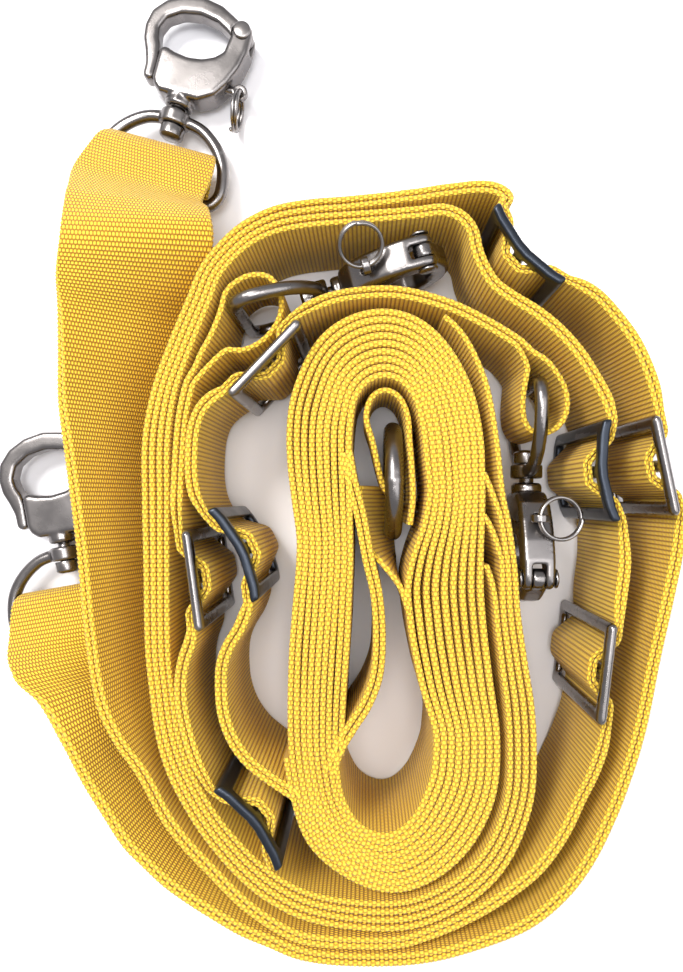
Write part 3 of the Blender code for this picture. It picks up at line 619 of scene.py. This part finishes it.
# %% Leg 2
folded_leg(
    "leg_2",
    flat_eye(
        2,
        [
            (-7.0, 8.5, 40), (-4.5, 4.2, 37), (2.0, 2.8, 37), (9.0, 3.0, 37), (13.5, 5.0, 37),
            (16.5, 10.5, 38), (14.5, 16.0, 41), (8.5, 19.5, 42), (1.0, 22.5, 43),
        ],
    ),
    [
        [-107.7, -55.3, 24.5, 72, 188, 44, PAIR],
        [-102.3, -61.7, 24.0, 52, 187, 48, PAIR],
        [-97.0, -67.0, 21.8, 38, 190, 50, PAIR],
        [-91.5, -78.0, 24.9, 25, 200, 50, PAIR],
        [-87.5, -91.7, 25.2, 15, 207, 50, PAIR],
        [-81.0, -102.7, 25.2, 14, 212, 50, PAIR],
        [-75.4, -111.9, 25.2, 13, 217, 50, PAIR],
        [-69.8, -118.5, 25.2, 11, 223, 50, PAIR],
        [-63.5, -124.9, 25.2, 10, 226, 50, PAIR],
        [-57.4, -130.2, 25.2, 8, 228, 50, PAIR],
        [-51.6, -134.8, 25.2, 6, 232, 50, PAIR],
        [-40.0, -142.9, 25.2, 3, 240, 50, PAIR],
    ]
    + upright(
        [
            (-29.2, -148.8), (-21.0, -151.9), (-8.0, -153.6), (11.7, -153.6), (24.6, -151.9),
            (37.5, -148.3), (50.7, -143.4), (57.2, -139.7), (63.6, -134.5), (70.0, -127.6),
            (76.4, -117.9), (82.9, -104.2), (86.4, -95.0), (89.6, -85.4), (92.8, -73.4),
            (96.4, -53.0, 26.0), (100.0, -33.0, 28.0), (102.5, -17.0, 29.5),
        ]
    ),
    Crossing(96.8, 11.1, 101.7),
    upright(
        [
            (95.2, 37.0, 29.5), (92.2, 46.0, 29.0), (88.6, 53.5, 28.5), (83.0, 61.0, 28.5),
            (77.0, 66.9, 29.5), (72.0, 70.0, 30.0),
        ]
    ),
    Crossing(53.0, 82.4, 131.2, BOW),
    upright(
        [
            (47.3, 99.0, 29.0), (45.9, 101.6, 28.0), (42.6, 103.6, 27.0), (37.5, 104.4, 26.0),
            (31.5, 104.2), (25.0, 103.4), (18.3, 102.3), (12.0, 101.6),
        ]
    ),
    node="strap_2",
)

# %% [markdown]
# The third leg is short. Its shackle stands on edge inside the far wall, its loop goes round an
# upright bar, and both of its slides are on the left.

# %% Leg 3
folded_leg(
    "leg_3",
    upright_eye(
        [
            (-47.5, 50.6, 46), (-40.5, 50.6, 44), (-33.5, 55.0, 41), (-29.0, 62.5, 38),
            (-28.9, 70.5, 38), (-32.8, 76.0, 38), (-39.0, 76.4, 39), (-44.4, 73.6, 40),
            (-47.4, 70.0, 41), (-48.4, 65.5, 42), (-50.0, 60.0, 44), (-52.4, 54.0, 46),
            (-54.8, 49.2, 48),
        ]
    ),
    upright(
        [
            (-57.0, 43.8), (-59.2, 37.5), (-61.2, 28.0), (-62.2, 18.0), (-62.4, 5.0, 27.0),
            (-62.0, -3.0, 29.5),
        ]
    ),
    Crossing(-55.5, -26.0, -82.3),
    upright(
        [
            (-57.6, -47.0, 29.5), (-59.6, -52.5, 29.0), (-61.0, -60.0, 28.0), (-60.7, -68.0, 28.0),
            (-58.9, -77.0, 28.0), (-55.4, -86.4, 29.5),
        ]
    ),
    Crossing(-37.7, -105.6, -52.0, BOW),
    node="strap_3",
)

# %% [markdown]
# The fourth leg is threaded through two slides as well. Its shackle stands on edge on the right,
# and the leg runs over the top of the hank to reach them.

# %% Leg 4
folded_leg(
    "leg_4",
    upright_eye(
        [
            (55.0, 45.4, 44), (54.4, 41.0, 42), (53.8, 36.0, 40), (53.7, 31.0, 39),
            (54.6, 26.5, 38), (57.0, 23.4, 38), (61.3, 22.8, 38), (65.6, 25.0, 39),
            (68.0, 28.8, 40), (68.5, 33.5, 41), (67.1, 38.5, 43), (64.0, 43.0, 46),
            (60.4, 46.8, 48),
        ]
    ),
    upright(
        [
            (55.3, 50.0), (47.6, 55.2), (40.6, 59.3), (30.8, 64.2), (21.0, 67.5), (11.4, 69.5),
            (1.8, 69.6), (-9.8, 67.1, 28.0), (-18.3, 63.4, 29.5),
        ]
    ),
    Crossing(-32.4, 45.7, -133.6),
    upright(
        [
            (-50.6, 33.6, 29.5), (-54.2, 29.8, 29.0), (-56.6, 24.0, 28.0), (-57.4, 16.0, 28.0),
            (-57.2, 8.0, 29.0), (-55.9, 1.6, 29.5),
        ]
    ),
    Crossing(-42.4, -17.6, -64.3, BOW),
    upright(
        [
            (-39.4, -37.2, 29.5), (-41.6, -42.5, 29.0), (-45.0, -48.0, 28.0), (-47.3, -54.0, 27.0),
            (-48.2, -62.0), (-47.4, -71.5), (-44.4, -80.0), (-39.5, -87.0), (-33.6, -92.0),
            (-27.0, -96.5), (-22.5, -99.5),
        ]
    ),
    node="strap_4",
)

# %% [markdown]
# The rest of the webbing that the legs come from is wound round the coil as an outer ring of four
# layers. On the right the layers slip in one by one behind the hank, so the inner ones stop where
# the bundle has grown too thin for them.

# %% The outer ring
OUTER_RING = [
    (13.2, 98.7, 10.0), (-5.0, 97.0, 10.0), (-18.3, 95.9, 10.0), (-29.0, 94.0, 9.8),
    (-37.6, 90.3, 9.0), (-44.7, 84.8, 8.4), (-51.6, 76.5, 8.2), (-55.4, 67.3, 8.4),
    (-62.8, 49.2, 8.6), (-67.3, 36.0, 8.8), (-69.9, 20.0, 9.8), (-70.0, 0.0, 9.8),
    (-69.8, -20.0, 9.2), (-69.4, -50.0, 8.8), (-68.0, -64.0, 8.6), (-66.0, -78.0, 8.6),
    (-62.8, -89.0, 8.6), (-57.9, -99.0, 8.8), (-51.6, -109.0, 9.2), (-44.9, -117.3, 9.6),
    (-38.5, -124.0, 10.0), (-31.0, -130.0, 10.2), (-20.0, -135.6, 10.6), (-5.0, -138.6, 10.8),
    (11.7, -139.0, 11.0), (23.0, -136.0, 10.8), (34.6, -129.3, 10.4), (42.8, -121.0, 10.4),
    (48.5, -110.5, 10.2), (52.0, -98.0, 10.4), (52.6, -83.0, 10.4), (51.8, -69.0, 10.4),
    (49.8, -55.0, 10.0), (47.6, -38.0, 9.4), (46.9, -22.0, 8.2), (45.8, -8.0, 6.6),
    (44.7, 2.0, 4.8), (43.7, 20.0, 2.8), (40.8, 37.5, 2.4), (37.0, 47.8, 2.2),
    (33.2, 54.6, 2.2), (29.4, 59.0, 2.2), (26.4, 61.4, 2.2),
]
LAYER_COUNT = 4
THINNEST = 2.15  # the least room that one layer takes
FULL_BUNDLE = 7.9  # a bundle thicker than this holds all the layers
PACKING = 0.93  # a layer's thickness, as a share of its room
SETTLE_LENGTH = 20  # over which the legs' layers move to their places in the ring
SLIP, SLIP_LENGTH = 3.6, 18  # how far an inner layer's end slips inwards, and over what length
LEG_END_OFFSETS = (4.0, 1.85, -1.75, -3.9)  # where the layers of legs 2 and 1 arrive at the ring

ring_path = np.array(smooth([upright([(x, y)], thickness)[0] for x, y, thickness in OUTER_RING]))
for k in range(LAYER_COUNT):
    bundle = ring_path[:, 6]
    room = np.where(bundle > FULL_BUNDLE, bundle / LAYER_COUNT, THINNEST)
    thin = (bundle < THINNEST * (k + 0.75)) & (np.arange(len(bundle)) > len(bundle) // 2)
    stop = int(np.argmax(thin)) if thin.any() else len(bundle)
    offset = bundle / 2 - (k + 0.5) * room
    settle = np.clip(1 - np.arange(len(bundle)) * STEP / SETTLE_LENGTH, 0, 1)
    offset += settle * (LEG_END_OFFSETS[k] - offset[0])
    thickness = np.minimum(CLOTH_THICKNESS, room * PACKING)
    name = f"outer_ring_layer_{k + 1}"
    if k:
        left = (stop - np.arange(len(bundle))) * STEP
        offset -= SLIP * np.clip(1 - left / SLIP_LENGTH, 0, 1) ** 2
    wound = layer(name, ring_path[:stop], offset[:stop], thickness[:stop], 0.1, seed=20 + k)
    if k == 0:
        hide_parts("outer_ring")
    print(name, "is", round(LAYERS[name], 3), "m long")

# %% [markdown]
# The hank is the same webbing wound nine times round a narrow hole. Nine closed rings would look
# alike, and a real hank is a spiral. So the outline of the outside and that of the hole are read in
# the same directions, from a line down the middle of the hole, and the spiral is drawn between
# them, one layer further in with each turn.

# %% The hank's two outlines
HANK_OUTSIDE = [
    (-27.6, 33.3), (-28.6, 20.0), (-28.0, 10.0), (-26.6, 0.0), (-24.5, -13.0), (-25.0, -23.0),
    (-26.3, -35.0), (-27.8, -50.0), (-28.3, -66.0), (-28.0, -80.0), (-26.9, -91.0),
    (-24.2, -104.0), (-20.6, -114.5), (-14.5, -121.5), (-6.0, -127.3), (3.0, -131.5),
    (12.0, -132.6), (21.0, -129.5), (29.0, -124.5), (36.0, -117.5), (41.5, -108.5),
    (45.2, -98.5), (46.2, -88.0), (46.0, -76.0), (44.2, -62.0), (42.4, -45.0), (41.3, -30.0),
    (41.3, 18.0), (39.8, 29.0), (37.3, 38.5), (33.8, 46.0), (29.8, 52.5), (25.0, 58.3),
    (19.5, 62.8), (12.5, 65.8), (4.0, 66.6), (-5.0, 64.6), (-14.0, 59.6), (-20.4, 51.6),
    (-24.6, 42.0),
]
HANK_INSIDE = [
    (-3.6, 0.0), (-3.3, -20.0), (-4.7, -46.7), (-6.2, -66.0), (-7.0, -82.0), (-6.0, -96.0),
    (-2.5, -105.5), (4.0, -109.8), (10.5, -109.0), (16.0, -102.5), (20.0, -91.0),
    (21.2, -78.3), (16.0, -63.3), (12.6, -46.7), (10.6, -30.0), (13.0, -19.0), (17.7, -8.0),
    (19.9, 3.3), (18.6, 12.0), (17.6, 23.3), (16.2, 31.7), (12.4, 37.8), (6.7, 40.2),
    (0.6, 37.8), (-2.9, 32.0), (-3.6, 20.0),
]
TOP_END, BOTTOM_END = Vector((6.5, 18.0)), Vector((6.0, -86.0))


def outline_along(outline, start, way):
    """Where a ray from start meets an outline."""
    best = 0.0
    for a, b in zip(outline, outline[1:] + outline[:1]):
        a, edge = Vector(a), Vector(b) - Vector(a)
        turn = way.cross(edge)
        if abs(turn) < 1e-9:
            continue
        reach, part = (a - start).cross(edge) / turn, (a - start).cross(way) / turn
        if reach > 0 and 0 <= part <= 1:
            best = max(best, reach)
    return start + way * best


rays = []
CAP, SIDE = 60, 70
for k in range(CAP):
    rays.append((BOTTOM_END, math.pi * (1 + k / CAP)))
for k in range(SIDE):
    rays.append((BOTTOM_END.lerp(TOP_END, k / SIDE), 0.0))
for k in range(CAP):
    rays.append((TOP_END, math.pi * k / CAP))
for k in range(SIDE):
    rays.append((TOP_END.lerp(BOTTOM_END, k / SIDE), math.pi))
walls = []
for start, angle in rays:
    way = Vector((math.cos(angle), math.sin(angle)))
    walls.append((*outline_along(HANK_OUTSIDE, start, way), *outline_along(HANK_INSIDE, start, way)))
walls = np.array(walls)
for _ in range(6):
    walls = (np.roll(walls, 1, axis=0) + 2 * walls + np.roll(walls, -1, axis=0)) / 4
wall = np.linalg.norm(walls[:, :2] - walls[:, 2:], axis=1)
print("the hank's wall is", np.round(np.ptp(wall), 1), "mm uneven")

# %% [markdown]
# The spiral is made in two pieces, the five outer turns and the four inside them. Where the wall
# is thin the turns are pressed together, so a layer's thickness follows the room it has.

# %% Wind the hank
TURNS = 9
THICKEST = 2.3  # the most that a turn swells to where it has room


def winding(first, last):
    """Stations of the spiral from one turn to another."""
    rows = []
    spokes = len(walls)
    for step in range(round(first * spokes), round(last * spokes) + 1):
        depth = (step / spokes + 0.5) / (TURNS + 1)
        outside, inside = walls[step % spokes, :2], walls[step % spokes, 2:]
        spot = outside + (inside - outside) * depth
        room = np.linalg.norm(inside - outside) / (TURNS + 1)
        rows.append([*spot, 25.0, 0, 180, WEB_WIDTH, room])
    return rows


for name, first, last in (("hank_outer_turns", 0, 5), ("hank_inner_turns", 5, TURNS)):
    rows = winding(first, last)
    thickness = np.minimum(THICKEST, np.array(rows)[:, 6] * PACKING)
    wound = layer(name, rows, 0.0, thickness, 0.16, seed=40 + first)
    if first == 0:
        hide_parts("hank")
    print(name, "is", round(LAYERS[name], 3), "m long")

# %% [markdown]
# Two more short pieces close the coil: a doubled strand that has slipped away from the left wall
# of the hole, and a single layer that goes through the round ring and holds it in the hank.

# %% The inner strand and the ring's sling
strand = smooth(upright(
    [
        (-6.2, 16.0), (-4.4, 6.0), (-1.6, -5.0), (1.2, -20.0), (3.9, -32.0), (4.8, -46.7),
        (3.8, -59.0), (0.3, -68.5), (-4.2, -75.6), (-8.6, -83.0), (-11.5, -91.0),
    ]
))
for number, side in ((1, -1), (2, 1)):
    name = f"inner_strand_{number}"
    hanging = layer(name, beside(strand, side), wander=0.1, seed=60 + number)
    if number == 1:
        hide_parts("hank_inner_strand")
RING_HEIGHT = 26.0
SLING = [
    (13.4, -1.2, 22), (10.0, 0.6, 22), (6.6, 4.6, 24), (4.7, 11.0, 30), (2.6, 20.0, 36),
    (0.4, 28.0, 40), (2.2, 34.8, 40), (6.6, 37.4, 40), (11.4, 35.2, 40), (14.4, 29.0, 40),
    (15.2, 20.0, 40), (16.0, 10.0, 40), (16.3, 0.0, 40), (15.3, -8.5, 40),
]
sling_rows = [[x, y, RING_HEIGHT, 0, 180, width, SINGLE] for x, y, width in SLING]
sling = layer("ring_sling_layer", smooth(sling_rows), wander=0.0, seed=70)
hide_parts("ring_sling")
tail_rows = [
    (3.3, 5.0, 28, 22), (3.6, -3.0, 30, 24), (4.3, -10.0, 34, 22), (6.0, -16.5, 40, 14),
    (9.0, -22.5, 46, 6), (12.0, -29.5, 49, 0), (14.6, -37.5, 50, 0),
]
tail = layer(
    "ring_tail",
    smooth([[x, y, 25.5, lean, 180, width, SINGLE] for x, y, width, lean in tail_rows]),
    wander=0.0,
    seed=71,
)
print("webbing in all:", round(sum(LAYERS.values()), 2), "m")

# %% [markdown]
# The shackles' bodies, jaws and plungers are cast with soft edges, and the slides are stamped
# frames that have been tumbled smooth. The frame's solids have the right shapes but sharp edges. A
# bevel would need each edge chosen, so a copy of the solid is merged, remeshed in fine voxels and
# smoothed, which rounds every edge by the same small amount, as casting and tumbling do.

# %% Cast and stamped steel
SLIDE_VOXEL, CASTING_VOXEL, PLUNGER_VOXEL = 0.55, 0.45, 0.3


def deselect_all():
    for obj in bpy.context.selected_objects:
        obj.select_set(False)


def work_on(obj):
    deselect_all()
    bpy.context.view_layer.objects.active = obj
    obj.select_set(True)


def mounted(obj, body, finish):
    """Gives a finished piece its material, and lets it ride on its body."""
    obj.data.materials.clear()
    obj.data.materials.append(finish)
    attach(obj, body)
    return obj


def softened(name, node, body, finish, voxel, rounds, fill):
    """A copy of a solid with all its edges rounded."""
    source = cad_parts[node]
    made = bpy.data.objects.new(name, source.data.copy())
    bpy.context.scene.collection.objects.link(made)
    work_on(made)
    bpy.ops.object.mode_set(mode="EDIT")
    bpy.ops.mesh.select_all(action="SELECT")
    bpy.ops.mesh.remove_doubles(threshold=2e-6)
    bpy.ops.object.mode_set(mode="OBJECT")
    made.data.remesh_voxel_size = voxel * MM
    made.data.remesh_voxel_adaptivity = 0.0
    bpy.ops.object.voxel_remesh()
    relax = made.modifiers.new("soften", "SMOOTH")
    relax.factor, relax.iterations = 0.6, rounds
    bpy.ops.object.modifier_apply(modifier=relax.name)
    fuller = made.modifiers.new("fuller", "DISPLACE")
    fuller.strength, fuller.mid_level = fill * MM, 0.0
    bpy.ops.object.modifier_apply(modifier=fuller.name)
    bpy.ops.object.shade_smooth()
    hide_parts(node)
    mounted(made, body, finish)
    print(name, "has", len(made.data.polygons), "faces")
    return made


for leg in (1, 2, 3, 4):
    softened(f"bright_slide_{leg}", f"slide_{leg}_flat", "coil", BRIGHT, SLIDE_VOXEL, 9, 0.1)
    softened(f"dark_slide_{leg}", f"slide_{leg}_bowed", "coil", DARK, SLIDE_VOXEL, 6, 0.05)
for leg in SHACKLES:
    whole, jaw, plunger = f"shackle_{leg}", f"jaw_{leg}", f"plunger_{leg}"
    softened(f"shackle_body_{leg}", f"{whole}_body", whole, BRIGHT, CASTING_VOXEL, 14, 0.12)
    softened(jaw, f"{whole}_jaw", jaw, BRIGHT, CASTING_VOXEL, 18, 0.18)
    softened(plunger, f"{whole}_plunger", plunger, BRIGHT, PLUNGER_VOXEL, 4, 0.05)

# %% [markdown]
# Turned pieces, such as the swivel's stud with its nut and the jaw's hinge pin, start as a circle
# that is extruded and scaled from step to step, as on a lathe. A small bevel breaks the edges.

# %% Turned pieces
LATHE_SIDES = 40
BROKEN_EDGE = 0.25


def turned(name, profile, place):
    """A turned piece from (distance along Z, radius), made at the origin and then put in place."""
    deselect_all()
    first, radius = profile[0]
    bpy.ops.mesh.primitive_circle_add(
        vertices=LATHE_SIDES, radius=radius * MM, fill_type="NGON", location=(0, 0, first * MM)
    )
    made = bpy.context.active_object
    made.name = made.data.name = name
    bpy.ops.object.transform_apply(location=True, rotation=True, scale=True)
    bpy.ops.object.mode_set(mode="EDIT")
    bpy.ops.mesh.select_all(action="SELECT")
    for distance, wider in profile[1:]:
        bpy.ops.mesh.extrude_region_move(
            TRANSFORM_OT_translate={"value": (0, 0, (distance - first) * MM)}
        )
        scale = wider / radius
        bpy.ops.transform.resize(value=(scale, scale, 1), center_override=(0, 0, distance * MM))
        first, radius = distance, wider
    bpy.ops.mesh.select_all(action="SELECT")
    bpy.ops.mesh.normals_make_consistent(inside=False)
    bpy.ops.object.mode_set(mode="OBJECT")
    broken = made.modifiers.new("broken edges", "BEVEL")
    broken.width, broken.segments, broken.limit_method = BROKEN_EDGE * MM, 2, "ANGLE"
    bpy.ops.object.modifier_apply(modifier=broken.name)
    bpy.ops.object.shade_smooth_by_angle(angle=math.radians(35))
    made.data.transform(place)
    return made


def in_frame(number, point=(0, 0, 0), turn=Matrix.Identity(4)):
    """Where a piece made at the origin goes on a shackle, in metres."""
    place = SHACKLES[number] @ Matrix.Translation(point) @ turn
    place.translation = metres(place.translation)
    return place


ALONG_Y = Matrix.Rotation(math.radians(-90), 4, "X")  # turns +Z to the shackle's +Y
HINGE = (17.8, 33.6, 0.0)
STUD = [(-11.2, 3.2), (-10.8, 3.9), (-10.2, 4.6), (-6.6, 4.6), (-6.55, 2.6), (3.4, 2.6)]
PIN = [
    (-6.8, 2.6), (-6.5, 3.3), (-5.8, 3.3), (-5.75, 1.9),
    (5.75, 1.9), (5.8, 3.3), (6.5, 3.3), (6.8, 2.6),
]
for leg in SHACKLES:
    stud = turned(f"stud_{leg}", STUD, in_frame(leg, turn=ALONG_Y))
    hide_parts(f"shackle_{leg}_swivel_stud")
    mounted(stud, f"shackle_{leg}", BRIGHT)
    pin = turned(f"hinge_pin_{leg}", PIN, in_frame(leg, HINGE))
    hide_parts(f"shackle_{leg}_jaw_pin")
    mounted(pin, f"shackle_{leg}", BRIGHT)
print("a stud is", STUD[-1][0] - STUD[0][0], "mm long")

# %% [markdown]
# A bail is a rod bent into a D and welded to a boss that turns on the stud. The rod is a curve with
# a round bevel, turned into a mesh. It is joined to its boss and remeshed, which fuses the two with
# a small fillet, as a weld does.

# %% Bails
BAIL_SIDE = [
    (4.5, -3.5), (11.0, -5.0), (17.5, -9.5), (22.0, -15.5), (BAIL_HALF_WIDTH, -22.5),
    (BAIL_HALF_WIDTH, -28.5), (21.2, -32.5), (16.0, -BAIL_LENGTH), (6.0, -BAIL_LENGTH),
]
BOSS = [(-6.2, 5.0), (-5.7, 5.8), (-1.4, 5.8), (-0.9, 5.2)]
for leg in SHACKLES:
    side = [[x, y, 0.0] for x, y in BAIL_SIDE]
    bend = smooth(side + [[-x, y, z] for x, y, z in reversed(side)], step=1.5)
    curve = bpy.data.curves.new(f"bail_{leg}", "CURVE")
    curve.dimensions, curve.bevel_depth, curve.bevel_resolution = "3D", BAIL_ROD * MM, 5
    curve.use_fill_caps = True
    spline = curve.splines.new("POLY")
    spline.points.add(len(bend) - 1)
    for point, spot in zip(spline.points, bend):
        point.co = (*(Vector(spot) * MM), 1.0)
    rod = bpy.data.objects.new(f"bail_{leg}", curve)
    bpy.context.scene.collection.objects.link(rod)
    work_on(rod)
    bpy.ops.object.convert(target="MESH")
    rod.data.transform(in_frame(leg))
    boss = turned(f"boss_{leg}", BOSS, in_frame(leg, turn=ALONG_Y))
    work_on(rod)
    boss.select_set(True)
    bpy.ops.object.join()
    rod.data.remesh_voxel_size = CASTING_VOXEL * MM
    bpy.ops.object.voxel_remesh()
    relax = rod.modifiers.new("weld", "SMOOTH")
    relax.factor, relax.iterations = 0.6, 5
    bpy.ops.object.modifier_apply(modifier=relax.name)
    bpy.ops.object.shade_smooth()
    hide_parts(f"shackle_{leg}_bail")
    mounted(rod, "coil", BRIGHT)
print("a bail is", 2 * (BAIL_HALF_WIDTH + BAIL_ROD), "mm wide")

# %% [markdown]
# The pull ring in each plunger's eye is a split ring, two turns of wire that touch, and the spring
# behind the plunger's collar is four open turns. Both are the wire's round section, given the Screw
# modifier with as many turns and as much rise as each needs.

# %% Wound wire
def wound_wire(name, wire, radius, turns, rise, place):
    """Turns of wire about Z, from the origin up, put in place in metres."""
    deselect_all()
    bpy.ops.mesh.primitive_circle_add(
        vertices=10, radius=wire * MM, location=(radius * MM, 0, 0), rotation=(math.pi / 2, 0, 0)
    )
    made = bpy.context.active_object
    made.name = made.data.name = name
    bpy.ops.object.transform_apply(location=True, rotation=True, scale=True)
    wound = made.modifiers.new("turns", "SCREW")
    wound.angle, wound.screw_offset = math.radians(360), rise * MM
    wound.iterations, wound.steps, wound.render_steps = turns, 48, 48
    wound.use_smooth_shade = True
    bpy.ops.object.modifier_apply(modifier=wound.name)
    bpy.ops.object.mode_set(mode="EDIT")
    bpy.ops.mesh.select_all(action="DESELECT")
    bpy.ops.mesh.select_non_manifold()
    bpy.ops.mesh.fill_holes(sides=12)
    bpy.ops.mesh.select_all(action="SELECT")
    bpy.ops.mesh.normals_make_consistent(inside=False)
    bpy.ops.object.mode_set(mode="OBJECT")
    made.data.transform(place)
    return made

# %% [markdown]
# A pull ring hangs from the eye of its plunger, so its nearest point lies in the eye and its
# middle one radius away. On a shackle that stands on edge it hangs out to one side, and on one
# that lies flat it points back along the shackle.

# %% Split rings
EYE = Vector((21.6, 13.0, 0.0))
PULL_RADIUS = 7.1
PULL_WIRE = 0.68
PULL_LEAN = {1: 5, 2: 5, 3: -35, 4: 5}
for leg in SHACKLES:
    lean = math.radians(PULL_LEAN[leg])
    if leg in (3, 4):
        out, hole = Vector((-math.sin(lean), 0, math.cos(lean))), Vector((0, 1, 0))
    else:
        out, hole = Vector((math.sin(lean), -math.cos(lean), 0)), Vector((0, 0, 1))
    axis = out.cross(hole)
    lying = Matrix((out, hole, axis)).transposed().to_4x4()
    start = EYE + out * PULL_RADIUS - axis * PULL_WIRE * 2
    place = in_frame(leg, start, lying)
    ring = wound_wire(f"split_ring_{leg}", PULL_WIRE, PULL_RADIUS, 2, PULL_WIRE * 1.9, place)
    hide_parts(f"shackle_{leg}_pull_ring")
    mounted(ring, f"pull_ring_{leg}", BRIGHT)
print("a split ring is", 2 * (PULL_RADIUS + PULL_WIRE), "mm across")

# %% [markdown]
# When a plunger is pulled, its collar presses the spring against the end of the chamber. Here
# the spring is wound along the plunger's own line, from the collar to the end of the chamber, and
# gets a mesh of its own.

# %% Springs
SPRING_START, SPRING_END = 0.8, 10.2  # from the collar to the end of the chamber
SPRING_TURNS = 4
SPRING_WIRE, SPRING_RADIUS = 0.42, 2.3
TO_X = Matrix.Rotation(math.radians(90), 4, "Y")  # turns +Z to the shackle's +X
for leg in SHACKLES:
    length = SPRING_END - SPRING_START
    place = in_frame(leg, (SPRING_START, EYE.y, 0), TO_X)
    rise = length / SPRING_TURNS
    spring = wound_wire(f"spring_{leg}", SPRING_WIRE, SPRING_RADIUS, SPRING_TURNS, rise, place)
    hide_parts(f"shackle_{leg}_plunger_spring")
    mounted(spring, f"shackle_{leg}", BRIGHT)
    way = SHACKLES[leg].to_3x3() @ Vector((1, 0, 0))
    end = in_frame(leg, (SPRING_END, EYE.y, 0)).translation
    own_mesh(spring)

# %% [markdown]
# The round ring in the middle is bent from rod and welded. A torus is its start. The faces at the
# join are selected by their place and swollen a little, as a weld bead is.

# %% The centre ring
RING_RADIUS, RING_ROD = 18.3, 3.2
RING_AT = Vector((10.0, 6.8, RING_HEIGHT))
WELD_HALF = 1.6

deselect_all()
bpy.ops.mesh.primitive_torus_add(
    major_radius=RING_RADIUS * MM, minor_radius=RING_ROD * MM, major_segments=160, minor_segments=28
)
round_ring = bpy.context.active_object
round_ring.name = round_ring.data.name = "round_ring"
for vertex in round_ring.data.vertices:
    place = vertex.co / MM
    if place.x < 0 and abs(place.y) < WELD_HALF:
        middle = Vector((place.x, place.y, 0)).normalized() * RING_RADIUS
        swell = 0.06 * (1 - (place.y / WELD_HALF) ** 2)
        vertex.co = (place + (place - middle) * swell) * MM
round_ring.data.transform(Matrix.Translation(metres(RING_AT)) @ Matrix.Rotation(math.radians(90), 4, "Y"))
work_on(round_ring)
bpy.ops.object.shade_smooth()
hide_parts("centre_ring")
mounted(round_ring, "centre_ring", BRIGHT)
print("the round ring is", 2 * (RING_RADIUS + RING_ROD), "mm across")

# %% [markdown]
# The coil stands on a plain pale floor under soft studio light. A large lamp from the upper left
# shades the walls of the webbing, two weaker ones fill the deep gaps, and the camera looks straight
# down from close by, so the tall walls lean outwards from the middle of the picture.

# %% Floor, light and camera
deselect_all()
bpy.ops.mesh.primitive_plane_add(size=6.0, location=(0, 0, -0.0002))
floor = bpy.context.active_object
floor.name = "floor"
floor_material, tree, shader = material("pale floor")
where = tree.nodes.new("ShaderNodeTexCoord").outputs["Object"]
pale = mixed(tree, blurred(tree, where, 8.0), (0.80, 0.79, 0.82), (0.86, 0.85, 0.87))
tree.links.new(pale, shader.inputs["Base Color"])
shader.inputs["Roughness"].default_value = 0.7
floor.data.materials.append(floor_material)


def lamp(name, energy, size, place, colour=(1, 1, 1)):
    light = bpy.data.lights.new(name, "AREA")
    light.energy, light.size, light.color = energy, size, colour
    made = bpy.data.objects.new(name, light)
    made.location = place
    made.rotation_euler = (Vector((0, 0, 0)) - Vector(place)).to_track_quat("-Z", "Y").to_euler()
    bpy.context.scene.collection.objects.link(made)


lamp("key", 14.0, 0.35, (-0.45, 0.45, 0.95), (1.0, 0.99, 0.97))
lamp("fill", 5.0, 0.8, (0.6, -0.1, 0.9), (0.97, 0.98, 1.0))
lamp("overhead", 6.0, 0.4, (0.0, 0.0, 1.1))
world = bpy.data.worlds.new("studio")
world.use_nodes = True
world.node_tree.nodes["Background"].inputs["Color"].default_value = (0.92, 0.92, 0.96, 1.0)
world.node_tree.nodes["Background"].inputs["Strength"].default_value = 0.6
bpy.context.scene.world = world
bpy.context.scene.view_settings.view_transform = "Standard"

EYE_HEIGHT = 0.300
camera_data = bpy.data.cameras.new("camera")
camera_data.lens = 27.78
camera_data.shift_x = -0.0242
camera_data.shift_y = 0.0144
camera_data.clip_start = 0.01
camera = bpy.data.objects.new("camera", camera_data)
camera.location = (HOME.x * MM, HOME.y * MM, EYE_HEIGHT)
bpy.context.scene.collection.objects.link(camera)
bpy.context.scene.camera = camera
print("camera", tuple(camera.location), "lens", camera_data.lens)
